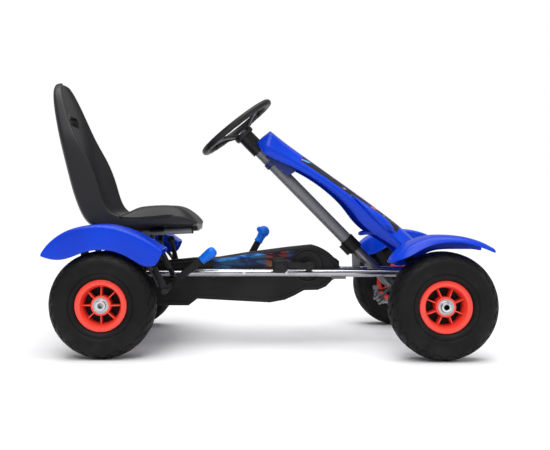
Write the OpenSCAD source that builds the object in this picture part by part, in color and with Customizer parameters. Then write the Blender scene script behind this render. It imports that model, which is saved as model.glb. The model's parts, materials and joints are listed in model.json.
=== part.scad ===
// Pedal go kart. Lengths in mm, +X forward, +Y to the driver's left, +Z up, floor at z = 0.
// Pieces are drawn with x measured from the rear axle, then moved so that the origin
// is on the floor, under the middle of the kart.

/* [Overall] */
// Distance from the rear axle to the front axle
wheelbase = 818; // [680:1:1000]
// Distance between the middles of the rear tyres
rear_track = 484; // [460:1:600]
// Distance between the middles of the front tyres
front_track = 534; // [500:1:660]

/* [Wheels] */
// Outside diameter of the tyres
tyre_d = 260; // [214:1:320]
// Width of the tyres
tyre_w = 85; // [76:1:104]
// Diameter of the rim flange
rim_d = 126; // [116:1:150]
// Width of the rim over its flanges
rim_w = 66; // [56:1:72]
// Outside diameter of the hub sleeve
hub_d = 48; // [44:1:60]
// Outside diameter of the wheel bearings
bearing_d = 38; // [32:1:42]
// Diameter of the axles
axle_d = 16; // [12:0.5:20]
// Number of ribs in a rim
rim_ribs = 8; // [5:1:10]

/* [Frame] */
// Diameter of the two main tubes
rail_d = 22; // [18:1:28]
// Distance between the middles of the main tubes
rail_gap = 84; // [80:1:104]
// Height of the main tubes
rail_z = 188; // [180:1:210]
// Wall of the steel tubes
tube_wall = 1.5; // [1:0.25:3]
// Diameter of the front and rear cross beams
beam_d = 25; // [20:1:30]

/* [Drive] */
// Distance from the crank back from the front axle
crank_setback = 301; // [290:1:320]
// Height of the crank above the middle of the main tubes
crank_rise = 19; // [19:0.5:26]
// Diameter of the crank axle
crank_axle_d = 12; // [10:0.5:13]
// Length of a crank arm between its centres
crank_len = 82; // [70:1:90]
// Teeth on the front chainring
front_teeth = 20; // [16:1:21]
// Teeth on the rear sprocket
rear_teeth = 12; // [10:1:16]
// Pitch of the chain
chain_pitch = 12.7; // [12.7]
// Length of a pedal along its pin
pedal_len = 88; // [60:1:96]
// Half of the width of the chain cover
cover_half = 28; // [22:1:29]

/* [Steering] */
// Angle of the steering column below the horizontal
column_rake = 45.5; // [44:0.5:48]
// Distance from the steering wheel's centre to the pitman plate
column_len = 615; // [580:1:680]
// Diameter of the upper column tube
upper_tube_d = 34; // [32:1:36]
// Diameter of the lower column tube
lower_tube_d = 29; // [26:0.5:30]
// Diameter of the steering shaft
shaft_d = 16; // [12:1:18]
// Radius of the steering wheel to the middle of its rim
wheel_r = 109; // [95:1:125]
// Thickness of the steering wheel's rim
wheel_rim_d = 19; // [16:1:24]
// Extra tilt of the steering wheel from square to the column
wheel_tilt = 6.4; // [0:0.2:8]
// Distance from the kingpin to the middle of a front tyre
king_offset = 72; // [70:1:80]
// Length of a knuckle's steering arm
knuckle_arm = 73; // [68:1:80]
// Length of the pitman plate from the shaft to its stud
pitman_len = 50; // [46:1:54]

/* [Seat] */
// Width of the seat over its wings
seat_w = 300; // [250:1:350]
// Distance between the middles of the seat rails
seat_rail_gap = 220; // [200:1:240]
// Diameter of the seat rails
seat_rail_d = 16; // [14:1:18]
// Rise of the seat rails towards the front, in degrees
seat_rail_rise = 3; // [2:0.5:4]
// Wall of the seat's wings
seat_wall = 9; // [6:1:12]

/* [Bodywork] */
// Wall of the fenders, fairing and chain cover
skin = 3; // [2:0.5:4]
// Clearance from the tyre tread to the fender's skirt
fender_clear = 5; // [4:1:10]
// Width of a rear fender
rear_fender_w = 118; // [100:1:130]
// Width of a front fender
front_fender_w = 104; // [96:1:110]
// Half of the width of the fairing at the steering wheel
fairing_half = 52; // [46:1:60]

/* [Levers] */
// Length of the brake lever from its pivot to the tip of its grip
brake_len = 146; // [130:1:160]
// Angle of the brake lever above the horizontal
brake_angle = 38; // [34:1:44]
// Gap from the brake shoes to the tyres with the brake off
brake_gap = 12; // [10:1:14]
// Length of the coasting lever from its pivot to the middle of its knob
coast_len = 152; // [140:1:160]
// Angle of the coasting lever above the horizontal
coast_angle = 61; // [58:1:75]

/* [Fits] */
// Radial clearance of a turning fit
run_fit = 0.05; // [0.02:0.01:0.1]
// Gap between faces of bodies that move past each other
side_gap = 0.5; // [0.3:0.1:1]

/* [Hidden] */
$fn = 64;

RIGHT = -1;
LEFT = 1;

tyre_r = tyre_d / 2;
wheel_z = tyre_r;
front_x = wheelbase;
rail_y = rail_gap / 2;
rail_back = -76;
rail_front = front_x + 14;
rail_top = rail_z + rail_d / 2;
rail_bottom = rail_z - rail_d / 2;

seat_back_reach = 173;                       // how far the seat stands out behind the rear axle
origin_shift = (seat_back_reach - front_x - tyre_r) / 2;

crank_x = front_x - crank_setback;
crank_z = rail_z + crank_rise;
crank_angle = 174.6;                         // the right arm points back, a little up
arm_inner = rail_y + rail_d / 2 + 5;         // inner face of a crank arm
arm_t = 7;
pin_d = 10;

king_y = front_track / 2 - king_offset;
barrel_d = 26;
barrel_h = 56;
fork_t = 5;
fork_depth = 19;                             // from the kingpin to the fork's back plate
fork_gap = side_gap;
king_d = 12;
arm_z = wheel_z - 17;                        // height of the steering arms and tie rods
joint_x = front_x - knuckle_arm - 27;        // where the tie rods meet the pitman plate
stud_d = 8;

u_x = cos(column_rake);
u_z = -sin(column_rake);
pitman_x = joint_x + pitman_len * sin(column_rake);
pitman_z = arm_z + pitman_len * cos(column_rake);
steer_x = pitman_x - column_len * u_x;
steer_z = pitman_z - column_len * u_z;
dish = 36;                                   // the steering wheel's hub, along the column from its centre
boss_end = 92;
boss_d = 44;
upper_start = boss_end + side_gap;
clamp_mid = column_len - 163;
clamp_len = 40;
lower_start = clamp_mid - 30;
lower_end = column_len - 9;
pitman_t = 5;
pitman_gap = 4.5;
eye_t = 5;
eye_slack = 4.6;                             // room round the stud, because the loop is opened here

beam_z = rail_bottom - beam_d / 2;

seat_rail_y = seat_rail_gap / 2;
seat_rail_z0 = 294.5;                        // height of a seat rail's middle at x = 0
seat_rail_back = -96;
seat_rail_front = 206;
function seat_rail_z(x) = seat_rail_z0 + x * tan(seat_rail_rise);
strut_d = 16;
strut_x = [-44, 100];
slider_x = [-22, 116];
slider_len = 36;

brake_x = tyre_r + 21;
brake_z = rail_z - 25;
brake_shaft_d = 14;
brake_y = -(rail_y + rail_d / 2 + 19);
coast_x = crank_x - 191;
coast_z = rail_z - 25;
coast_y = rail_y + rail_d / 2 + 22;
lever_t = 6;
lever_w = 19;

rear_hub_half = 30;
rear_y = rear_track / 2;
front_y = front_track / 2;

// ---------------------------------------------------------------- helpers

module place() translate([origin_shift, 0, 0]) children();

// Children's +Z axis runs from p to q
module along(p, q) {
    v = q - p;
    translate(p) rotate([0, acos(v[2] / norm(v)), atan2(v[1], v[0])]) children();
}

module rod(p, q, d) along(p, q) cylinder(d = d, h = norm(q - p));

module tube(p, q, d, wall) difference() {
    rod(p, q, d);
    rod(p - (q - p), q + (q - p), d - 2 * wall);
}

// A cylinder across the kart, from y0 to y1
module cross_rod(x, z, d, y0, y1) translate([x, y0, z]) rotate([-90, 0, 0])
    cylinder(d = d, h = y1 - y0);

// A side outline of [x, z] points, as thick as from y0 to y1
module side_plate(outline, y0, y1) translate([0, y1, 0]) rotate([90, 0, 0])
    linear_extrude(y1 - y0) polygon(outline);

// Children's +Z axis points down the column from the steering wheel's centre
module on_column(t = 0) translate([steer_x + t * u_x, 0, steer_z + t * u_z])
    rotate([0, 90 + column_rake, 0]) children();

// Children's +Z axis points away from the kart along a wheel's axle
module on_wheel(x, y, side) translate([x, side * y, wheel_z])
    rotate([-90 * side, 0, 0]) children();

module rail_envelope(side) rod([rail_back, side * rail_y, rail_z],
                               [rail_front, side * rail_y, rail_z], rail_d);

// Skin through rings of points, all of one length, closed at both ends
module loft(rings) {
    n = len(rings[0]);
    m = len(rings);
    polyhedron(
        points = [for (ring = rings) each ring],
        faces = [
            [for (i = [0:n - 1]) i],
            for (k = [0:m - 2], i = [0:n - 1])
                [k * n + i, (k + 1) * n + i, (k + 1) * n + (i + 1) % n],
            for (k = [0:m - 2], i = [0:n - 1])
                [k * n + i, (k + 1) * n + (i + 1) % n, k * n + (i + 1) % n],
            [for (i = [n - 1:-1:0]) (m - 1) * n + i]
        ],
        convexity = 8);
}

// A closed outline moved inwards by d, for an outline that runs anticlockwise
function unit(v) = v / norm(v);
function inward(a, b) = let (v = unit(b - a)) [-v[1], v[0]];
function inset(p, d) = [for (i = [0:len(p) - 1]) let (
        before = p[(i + len(p) - 1) % len(p)],
        after = p[(i + 1) % len(p)],
        n1 = inward(before, p[i]),
        n2 = inward(p[i], after),
        miter = (n1 + n2) / (1 + n1 * n2)
    ) p[i] + d * miter];

function arc(cx, cz, r, a0, a1, steps) = [for (k = [0:steps])
    let (a = a0 + (a1 - a0) * k / steps) [cx + r * cos(a), cz + r * sin(a)]];

// ---------------------------------------------------------------- frame

module frame_rail(side) color("silver") place()
    tube([rail_back, side * rail_y, rail_z], [rail_front, side * rail_y, rail_z], rail_d, tube_wall);
module frame_rail_right() frame_rail(RIGHT);
module frame_rail_left() frame_rail(LEFT);

rear_beam_x = rail_back + beam_d / 2;
rear_beam_half = rear_y - tyre_w / 2 - 26;
column_cross_x = pitman_x - (rail_z - pitman_z) * u_x / -u_z;
gusset_x = column_cross_x - 62;

module frame_crossmembers() color("dimgray") place() {
    tube([rear_beam_x, -rear_beam_half, beam_z], [rear_beam_x, rear_beam_half, beam_z],
         beam_d, tube_wall);
    difference() {
        union() {
            cross_rod(gusset_x, rail_z, 18, -rail_y, rail_y);
            side_plate([[gusset_x - 9, rail_z], [gusset_x + 9, rail_z],
                        [gusset_x + 16, rail_z + 70], [gusset_x - 12, rail_z + 80]], -2.5, 2.5);
        }
        for (side = [RIGHT, LEFT]) rail_envelope(side);
        on_column() cylinder(d = lower_tube_d, h = column_len);
        on_column(lower_start - 60) cylinder(d = upper_tube_d + 6, h = clamp_mid - lower_start + 80);
    }
    // tabs under the main tubes, beside the tip of the cover
    for (side = [RIGHT, LEFT]) difference() {
        translate([crank_x + 63, side > 0 ? cover_half + 1.5 : -rail_y - 8, rail_bottom - 5])
            cube([38, rail_y + 6.5 - cover_half, 14]);
        rail_envelope(side);
    }
    difference() {
        cross_rod(column_cross_x, rail_z, 18, -rail_y, rail_y);
        for (side = [RIGHT, LEFT]) rail_envelope(side);
        on_column() cylinder(d = lower_tube_d, h = column_len);
    }
}

module front_beam() color("dimgray") place() {
    back = king_y - fork_depth;
    low = wheel_z - barrel_h / 2 - fork_gap - fork_t;
    high = wheel_z + barrel_h / 2 + fork_gap;
    half = barrel_d / 2 + 2;
    difference() {
        union() {
            cross_rod(front_x, beam_z, beam_d, -back + fork_t, back - fork_t);
            for (side = [RIGHT, LEFT]) {
                translate([front_x - half, min(side * back, side * (back - fork_t)), low])
                    cube([2 * half, fork_t, max(high + fork_t, beam_z + beam_d / 2) - low]);
                for (z = [low, high]) translate([front_x, side * king_y, z]) {
                    cylinder(r = half, h = fork_t);
                    translate([-half, side > 0 ? -fork_depth : 0, 0])
                        cube([2 * half, fork_depth, fork_t]);
                }
            }
        }
        for (side = [RIGHT, LEFT]) {
            translate([front_x, side * king_y, low - 1])
                cylinder(d = king_d, h = high - low + 2 * fork_t);
        }
        cross_rod(front_x, beam_z, beam_d - 2 * tube_wall, -back + fork_t, back - fork_t);
    }
}

hanger_t = 6;
axle_housing_d = bearing_d + 12;
bush_d = crank_axle_d + 6;
brake_bush_d = brake_shaft_d + 10;

// A plate on a main tube that carries something round at [x, z]
module hanger(x, z, d, bore, side) difference() {
    union() {
        cross_rod(x, z, d, side * rail_y - hanger_t / 2, side * rail_y + hanger_t / 2);
        translate([x - d / 2, side * rail_y - hanger_t / 2, min(z, rail_z)])
            cube([d, hanger_t, abs(z - rail_z)]);
    }
    cross_rod(x, z, bore, side * rail_y - hanger_t, side * rail_y + hanger_t);
    rail_envelope(side);
}

module bearing_hangers() color("dimgray") place() {
    for (side = [RIGHT, LEFT]) {
        hanger(0, wheel_z, axle_housing_d, bearing_d, side);
        hanger(brake_x, brake_z, brake_bush_d, brake_shaft_d + 2 * run_fit, side);
        hanger(crank_x, crank_z, bush_d + 10, bush_d, side);
    }
    coast_hanger();
}

// The bracket that carries the coasting lever, out from the left tube
module coast_hanger() {
    inner = rail_y - hanger_t / 2;
    outer = coast_y - lever_t / 2 - side_gap;
    difference() {
        union() {
            translate([coast_x - 13, inner, coast_z - 13]) cube([26, outer - inner, 6]);
            side_plate([[coast_x - 13, coast_z - 13], [coast_x + 13, coast_z - 13],
                        [coast_x + 13, rail_z], [coast_x - 13, rail_z]], inner, inner + hanger_t);
            side_plate([[coast_x - 13, coast_z - 13], [coast_x + 13, coast_z - 13],
                        [coast_x + 10, coast_z + 12], [coast_x - 10, coast_z + 12]],
                       outer - 4, outer);
            cross_rod(coast_x, coast_z, 10, outer, coast_y + lever_t / 2 + side_gap);
            cross_rod(coast_x, coast_z, 18, coast_y + lever_t / 2 + side_gap,
                      coast_y + lever_t / 2 + side_gap + 4);
        }
        rail_envelope(LEFT);
    }
}

module column_lower_tube() color("silver") place() on_column(lower_start) difference() {
    cylinder(d = lower_tube_d, h = lower_end - lower_start);
    translate([0, 0, -1]) cylinder(d = lower_tube_d - 2 * tube_wall, h = lower_end - lower_start + 2);
}

module column_upper_tube() color("dimgray") place() on_column(upper_start) difference() {
    cylinder(d = upper_tube_d, h = clamp_mid - upper_start);
    translate([0, 0, -1]) cylinder(d = lower_tube_d, h = clamp_mid - upper_start + 2);
}

module column_clamp() color("black") place() on_column(clamp_mid - clamp_len / 2) difference() {
    union() {
        cylinder(d = upper_tube_d + 6, h = clamp_len);
        translate([0, -7, 4]) cube([upper_tube_d / 2 + 12, 14, clamp_len - 8]);
    }
    translate([0, 0, -1]) cylinder(d = upper_tube_d, h = clamp_len / 2 + 1);
    cylinder(d = lower_tube_d, h = clamp_len + 1);
    translate([upper_tube_d / 2 + 1, -1.5, -1]) cube([20, 3, clamp_len + 2]);
}

column_bush_len = 24;

module bushes() color("goldenrod") place() {
    for (side = [RIGHT, LEFT]) difference() {
        union() {
            cross_rod(crank_x, crank_z, bush_d, side * rail_y - hanger_t / 2,
                      side * rail_y + hanger_t / 2);
            cross_rod(crank_x, crank_z, bush_d + 4, side > 0 ? rail_y + hanger_t / 2
                      : -rail_y - hanger_t / 2 - 2, side > 0 ? rail_y + hanger_t / 2 + 2
                      : -rail_y - hanger_t / 2);
        }
        cross_rod(crank_x, crank_z, crank_axle_d + 2 * run_fit, side * rail_y - 20,
                  side * rail_y + 20);
        rail_envelope(side);
    }
    for (t = [upper_start, lower_end - column_bush_len]) on_column(t) difference() {
        cylinder(d = t == upper_start ? lower_tube_d : lower_tube_d - 2 * tube_wall,
                 h = column_bush_len);
        translate([0, 0, -1]) cylinder(d = shaft_d + 2 * run_fit, h = column_bush_len + 2);
    }
}

module axle_bearings() color("silver") place() for (side = [RIGHT, LEFT]) difference() {
    cross_rod(0, wheel_z, bearing_d, side * rail_y - 6, side * rail_y + 6);
    cross_rod(0, wheel_z, axle_d + 2 * run_fit, side * rail_y - 20, side * rail_y + 20);
}

// The rails that the seat slides on
module seat_rail(side) color("silver") place() tube(
    [seat_rail_back, side * seat_rail_y, seat_rail_z(seat_rail_back)],
    [seat_rail_front, side * seat_rail_y, seat_rail_z(seat_rail_front)], seat_rail_d, tube_wall);
module seat_rail_right() seat_rail(RIGHT);
module seat_rail_left() seat_rail(LEFT);

module seat_rail_envelope(side, extra = 0) rod(
    [seat_rail_back, side * seat_rail_y, seat_rail_z(seat_rail_back)],
    [seat_rail_front, side * seat_rail_y, seat_rail_z(seat_rail_front)], seat_rail_d + extra);

// Struts from the main tubes up to the seat rails
module seat_supports() color("black") place() for (side = [RIGHT, LEFT], x = strut_x) {
    foot = [x, side * (rail_y + 4), rail_z];
    head = [x, side * seat_rail_y, seat_rail_z(x)];
    difference() {
        rod(foot, head, strut_d);
        rail_envelope(side);
        seat_rail_envelope(side);
        translate([x - 20, side * seat_rail_y - 30, seat_rail_z(x) - 1]) cube([40, 60, 30]);
    }
}

cap_t = 4;
module tube_caps() color("black") place() for (side = [RIGHT, LEFT]) {
    for (x = [rail_back - cap_t, rail_front])
        rod([x, side * rail_y, rail_z], [x + cap_t, side * rail_y, rail_z], rail_d);
    dx = cap_t * cos(seat_rail_rise);
    dz = cap_t * sin(seat_rail_rise);
    for (end = [[seat_rail_back, -1], [seat_rail_front, 1]]) {
        p = [end[0], side * seat_rail_y, seat_rail_z(end[0])];
        rod(p, p + end[1] * [dx, 0, dz], seat_rail_d + 1);
    }
}

module frame_bolts() color("silver") place() {
    low = wheel_z - barrel_h / 2 - fork_gap - fork_t;
    high = wheel_z + barrel_h / 2 + fork_gap + fork_t;
    for (side = [RIGHT, LEFT]) {
        // kingpins, each with a head above and a nut below
        translate([front_x, side * king_y, low]) cylinder(d = king_d, h = high - low);
        translate([front_x, side * king_y, high]) cylinder(d = 20, h = 7, $fn = 6);
        translate([front_x, side * king_y, low - 8]) cylinder(d = 20, h = 8, $fn = 6);
        // screws of the cover and stays on the main tubes
        for (x = [crank_x - 174, crank_x - 60]) difference() {
            cross_rod(x, rail_z, 9, side > 0 ? rail_y : -rail_y - rail_d / 2 - 2,
                      side > 0 ? rail_y + rail_d / 2 + 2 : -rail_y);
            rail_envelope(side);
        }
    }
}

// ---------------------------------------------------------------- bodywork

// Fairing stations along its top line, counted from the front axle:
// [x, z above the front axle, slope, depth, shoulder half, crease half, crease depth, lower half]
fairing_stations = [
    [-405, 446, 35.5, 58, fairing_half - 8, fairing_half, 32, fairing_half - 4],
    [-362, 415, 35.5, 60, fairing_half - 8, fairing_half + 2, 33, fairing_half - 3],
    [-310, 378, 35.5, 46, fairing_half - 8, fairing_half + 4, 31, fairing_half + 1],
    [-258, 341, 35.5, 39, fairing_half - 6, fairing_half + 7, 28, fairing_half + 4],
    [-206, 304, 35.5, 41, fairing_half - 3, fairing_half + 12, 28, fairing_half + 8],
    [-162, 272.5, 36, 50, fairing_half, fairing_half + 20, 30, fairing_half + 13],
    [-130, 249, 37, 65, fairing_half + 3, fairing_half + 28, 34, fairing_half + 17],
    [-90, 219, 38, 69, fairing_half + 6, fairing_half + 34, 38, fairing_half + 22],
    [-50, 188, 40, 62, fairing_half + 8, fairing_half + 38, 40, fairing_half + 28],
    [-12, 155, 44, 57, fairing_half + 8, fairing_half + 40, 46, fairing_half + 32],
    [22, 120, 55, 56, fairing_half + 4, fairing_half + 36, 44, fairing_half + 28],
    [42, 88, 72, 48, fairing_half - 4, fairing_half + 24, 34, fairing_half + 18]
];
ridge_drop = 13;
function fairing_point(s, y, v) = [
    front_x + s[0] - v * sin(s[2]), y, wheel_z + s[1] - v * cos(s[2])];
// A section with its skin taken off by t, and its open edge moved down by below
function fairing_ring(s, t, below) = [
    for (p = [[s[7] - t, s[3] + below], [s[5] - t, s[6]], [s[4] - t, ridge_drop + t], [0, t],
              [t - s[4], ridge_drop + t], [t - s[5], s[6]], [t - s[7], s[3] + below]])
        fairing_point(s, p[0], p[1])];
function moved(ring, d) = [for (p = ring) p + d];

module nose_fairing() color("blue") place() {
    last = len(fairing_stations) - 1;
    difference() {
        loft([for (s = fairing_stations) fairing_ring(s, 0, 0)]);
        loft([for (k = [0:last]) let (s = fairing_stations[k],
                into = k == 0 ? skin : k == last ? -skin : 0)
            moved(fairing_ring(s, skin, 20), into * [cos(s[2]), 0, -sin(s[2])])]);
        on_column(-20) cylinder(d = upper_tube_d + 8, h = column_len);
        on_column(-20) cylinder(d = boss_d + 6, h = boss_end + 24);
        translate([front_x - 200, -150, 0]) cube([300, 300, rail_top + 3]);
    }
}

// A folded plate under the fairing's upper end, with a collar round the column
bracket_half = 30;
bracket_t = 3;
module fairing_bracket() color("navy") place() {
    s = fairing_stations[1];
    at = [front_x + s[0], wheel_z + s[1]];
    outline = [[-54, -41], [6, -95], [31, -79], [-11, -55]];
    fold = unit(outline[1] - outline[0]);
    across = bracket_t * [-fold[1], fold[0]];
    difference() {
        union() {
            for (y = [-bracket_half, bracket_half - bracket_t])
                side_plate([for (p = outline) at + p], y, y + bracket_t);
            side_plate([at + outline[0], at + outline[1], at + outline[1] + across,
                        at + outline[0] + across], -bracket_half, bracket_half);
            on_column(boss_end + 38) cylinder(d = upper_tube_d + 7, h = 16);
        }
        on_column() cylinder(d = upper_tube_d, h = column_len);
    }
}

// Rear fender stations, from its rear tip: [x, top z, lower z of the outer skirt], from the wheel's
// middle, for a tyre of fender_tyre_r; grow() moves them out with the tyre
fender_tyre_r = 130;
function grow(x, z) = [x, z] * (1 + (tyre_r - fender_tyre_r) / norm([x, z]));
function skirt_z(x, z) = let (r = fender_tyre_r + fender_clear)
    abs(x) < r * 0.8 ? max(z, sqrt(r * r - x * x)) : z;
rear_fender_stations = [
    [-150, 124, 119], [-133, 147, 114], [-102, 171, 108], [-72, 185, 104], [-40, 192, 104],
    [-8, 195, 104], [22, 193, 104], [49, 186, 104], [79, 175, 96], [100, 164, 94.5],
    [116, 155, 94.5], [129, 147, 94.5], [139, 140, 106], [147, 135, 126]];

// One ring of a fender: a deep outer skirt, a rounded top and a shallow inner lip
function fender_ring(top, outer_low, inner_low, y_out, y_in, round, t) = let (
        x = top[0], z = top[1], s = y_out > y_in ? 1 : -1)
    [for (p = [
        [y_out, outer_low], [y_out, z - round], [y_out - s * round, z - round * 0.25],
        [(y_out + y_in) / 2, z], [y_in + s * round, z - round * 0.25], [y_in, z - round],
        [y_in, inner_low], [y_in + s * t, inner_low + 0.6], [y_in + s * t, z - round],
        [y_in + s * round, z - round * 0.25 - t], [(y_out + y_in) / 2, z - t],
        [y_out - s * round, z - round * 0.25 - t], [y_out - s * t, z - round],
        [y_out - s * t, outer_low + 0.6]]) [x, p[0], p[1]]];

// A fender through stations of [x, top z, lower z of the outer skirt, lower z of the inner lip]
module fender(stations, axle_x, side, y_out, width, round) {
    rings = [for (s = stations) let (
            top = grow(s[0], s[1]),
            out_low = min(grow(s[0], s[2])[1], top[1] - round - 1),
            in_low = min(grow(s[0], s[3])[1], top[1] - round - 1))
        fender_ring([axle_x + top[0], wheel_z + top[1]], wheel_z + out_low, wheel_z + in_low,
                    y_out, y_out - width, round, skin)];
    mirror([0, side > 0 ? 0 : 1, 0]) loft(rings);
}

fender_proud = 38;                           // from the rear tyre's middle to the outer skirt
inner_lip = 26;                              // depth of a rear fender's inner lip
module rear_fender(side) color("blue") place()
    fender([for (s = rear_fender_stations) let (low = skirt_z(s[0], s[2]))
        [s[0], s[1], low, max(low, s[1] - inner_lip)]],
        0, side, rear_y + fender_proud, rear_fender_w, 8);
module rear_fender_right() rear_fender(RIGHT);
module rear_fender_left() rear_fender(LEFT);

// Front fender stations: [x, top z, lower z of the outer lip, lower z of the inner skirt]
front_fender_stations = [
    [-136, 112, 103, 92], [-117, 125, 106, 84], [-90, 146, 119, 86], [-60, 160, 138, 100],
    [-33, 168, 149, 118], [-7, 170, 153, 130], [24, 169, 155, 132], [51, 166, 151, 132],
    [79, 158, 143, 132], [97, 150, 136, 132], [123, 136, 126, 125]];
front_fender_proud = 42.5;
module front_fender(side) color("blue") place() fender(
    front_fender_stations, front_x, side, front_y + front_fender_proud, front_fender_w, 7);
module front_fender_right() front_fender(RIGHT);
module front_fender_left() front_fender(LEFT);

// Stays of the rear fenders: a bent bar in front and a strap behind, on each side
stay_d = 14;
fender_in = rear_y + fender_proud - rear_fender_w;
module fender_stays() color("black") place() for (side = [RIGHT, LEFT]) {
    low = [brake_x - 2, side * (rail_y + 5), rail_z];
    mid = [brake_x - 6, side * 104, rail_z + 24];
    top = [brake_x - 26, side * (fender_in - stay_d / 2), wheel_z + 140];
    difference() {
        union() {
            rod(low, mid, stay_d);
            rod(mid, top, stay_d);
            translate(mid) sphere(d = stay_d + 2);
            translate(top) rotate([90, 0, 0]) cylinder(d = 22, h = stay_d, center = true);
        }
        rail_envelope(side);
    }
    strap_y = min(rear_beam_half, fender_in) - 8;
    difference() {
        translate([rear_beam_x - 10, side > 0 ? strap_y : -strap_y - 4, beam_z])
            cube([20, 4, wheel_z + 172 - beam_z]);
        rod([rear_beam_x, -rear_beam_half, beam_z], [rear_beam_x, rear_beam_half, beam_z], beam_d);
    }
    translate([rear_beam_x - 10, side > 0 ? strap_y : -fender_in, wheel_z + 160])
        cube([20, fender_in - strap_y, 12]);
}

// ---------------------------------------------------------------- chain and cover

function pitch_r(teeth) = chain_pitch / (2 * sin(180 / teeth));
front_pitch = pitch_r(front_teeth);
rear_pitch = pitch_r(rear_teeth);
chain_plate_h = 4;                           // half of the height of a link plate
cover_gap = 1;                               // least gap between the chain and the cover's wall
// Height of the chain's lower edge at x
chain_low_rear = wheel_z - rear_pitch - chain_plate_h;
chain_low_front = crank_z - front_pitch - chain_plate_h;
function chain_low(x) = chain_low_rear + (chain_low_front - chain_low_rear) * x / crank_x;
// A point of the cover's lower edge, low enough to clear the chain
function under_chain(x, z) = [x, min(z, chain_low(x) - skin - cover_gap)];
// Outline of the cover, anticlockwise from its rear lower end
cover_outline = concat(
    [[-30, wheel_z - 33], under_chain(crank_x - 326, wheel_z - 33.5),
     under_chain(crank_x - 302, wheel_z - 15), under_chain(crank_x - 103, crank_z - 102.5),
     [crank_x - 62, crank_z - 95], [crank_x - 35, crank_z - 83], [crank_x - 10, crank_z - 69],
     [crank_x + 28, crank_z - 68], [crank_x + 50, crank_z - 59], [crank_x + 68, crank_z - 41],
     [crank_x + 98, crank_z - 27]],
    arc(crank_x - 6, crank_z - 47, 104, 18, 80, 7),
    [[crank_x - 50, crank_z + 49], [crank_x - 158, crank_z + 35], [crank_x - 245, crank_z + 21],
     [crank_x - 313, crank_z + 19], [60, wheel_z + 82], [-16, wheel_z + 60]],
    arc(-6, wheel_z + 10, 40, 108, 232, 5));

module cover_half_shell(side) {
    wall = inset(cover_outline, skin);
    y0 = side > 0 ? 0 : -cover_half;
    y1 = side > 0 ? cover_half : 0;
    difference() {
        union() {
            difference() {
                side_plate(cover_outline, y0, y1);
                side_plate(wall, side > 0 ? -1 : skin - cover_half, side > 0 ? cover_half - skin : 1);
            }
            difference() {
                cross_rod(crank_x, crank_z, 92, side > 0 ? cover_half - skin : -cover_half - 2,
                          side > 0 ? cover_half + 2 : skin - cover_half);
                cross_rod(crank_x, crank_z, 82, -cover_half - 4, cover_half + 4);
            }
        }
        cross_rod(crank_x, crank_z, crank_axle_d + 8, -cover_half - 5, cover_half + 5);
        cross_rod(0, wheel_z, axle_d + 8, -cover_half - 5, cover_half + 5);
        cross_rod(brake_x, brake_z, brake_shaft_d + 8, -cover_half - 5, cover_half + 5);
        rail_envelope(side);
    }
}
module chain_cover_right() color("black") place() cover_half_shell(RIGHT);
module chain_cover_left() color([0.15, 0.15, 0.17]) place() cover_half_shell(LEFT);

// Where a straight run of chain leaves each sprocket; the run side is +1 above and -1 below
run_angle = atan2(crank_z - wheel_z, crank_x);
run_len = norm([crank_x, crank_z - wheel_z]);
run_tilt = asin((front_pitch - rear_pitch) / run_len);
function leave(cx, cz, r, run) = let (a = run_angle + run * (90 + run_tilt))
    [cx + r * cos(a), cz + r * sin(a)];
function chain_outline(extra) = concat(
    arc(0, wheel_z, rear_pitch + extra, run_angle + 90 + run_tilt, run_angle + 270 - run_tilt, 12),
    arc(crank_x, crank_z, front_pitch + extra, run_angle - 90 - run_tilt,
        run_angle + 90 + run_tilt, 16));
plate_t = 1.6;
ring_t = 3;
chain_in = ring_t / 2 + 0.4;

module drive_chain() color("gray") place() {
    for (y0 = [-chain_in - plate_t, chain_in]) difference() {
        side_plate(chain_outline(chain_plate_h), y0, y0 + plate_t);
        side_plate(chain_outline(-chain_plate_h), y0 - 1, y0 + plate_t + 1);
    }
    links = floor(run_len / chain_pitch) - 1;
    for (run = [-1, 1]) {
        a = leave(0, wheel_z, rear_pitch, run);
        b = leave(crank_x, crank_z, front_pitch, run);
        for (k = [3:3:links - 3]) {
            p = a + (b - a) * k / links;
            cross_rod(p[0], p[1], 6, -chain_in, chain_in);
        }
    }
}

function sprocket_outline(teeth, r) = [for (k = [0:teeth - 1], c = [[-0.36, -3.4], [-0.14, 3],
    [0.14, 3], [0.36, -3.4]]) let (a = 360 * (k + c[0]) / teeth) (r + c[1]) * [cos(a), sin(a)]];

module toothed_ring(cx, cz, teeth, bore, hub) difference() {
    union() {
        translate([cx, ring_t / 2, cz]) rotate([90, 0, 0]) linear_extrude(ring_t)
            polygon(sprocket_outline(teeth, pitch_r(teeth)));
        cross_rod(cx, cz, hub, -9, 9);
    }
    cross_rod(cx, cz, bore, -20, 20);
}

module chainring() color("silver") place()
    difference() {
        toothed_ring(crank_x, crank_z, front_teeth, crank_axle_d, crank_axle_d + 12);
        for (k = [0:4]) translate([crank_x, 0, crank_z]) rotate([0, 72 * k, 0])
            translate([front_pitch * 0.6, 0, 0]) cross_rod(0, 0, 13, -5, 5);
    }
module rear_sprocket() color("silver") place()
    toothed_ring(0, wheel_z, rear_teeth, axle_d, axle_d + 12);

// A torsion spring round the brake shaft, just outside the right hanger
spring_turns = 5;
spring_wire = 2.4;
spring_r = brake_shaft_d / 2 + 4;
spring_y = -(rail_y + hanger_t / 2 + 1.6);
function spring_at(a) = [spring_r * cos(a), -a / 360 * (spring_wire + 0.25), spring_r * sin(a)];
function spring_ring(a) = [for (k = [0:7]) let (
        b = 45 * k, out = [cos(a), 0, sin(a)])
    [brake_x, spring_y, brake_z] + spring_at(a)
        + spring_wire / 2 * (cos(b) * out + sin(b) * [0, 1, 0])];
module brake_spring() color("silver") place()
    loft([for (a = [0:20:360 * spring_turns]) spring_ring(a)]);

// ---------------------------------------------------------------- drive

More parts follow.
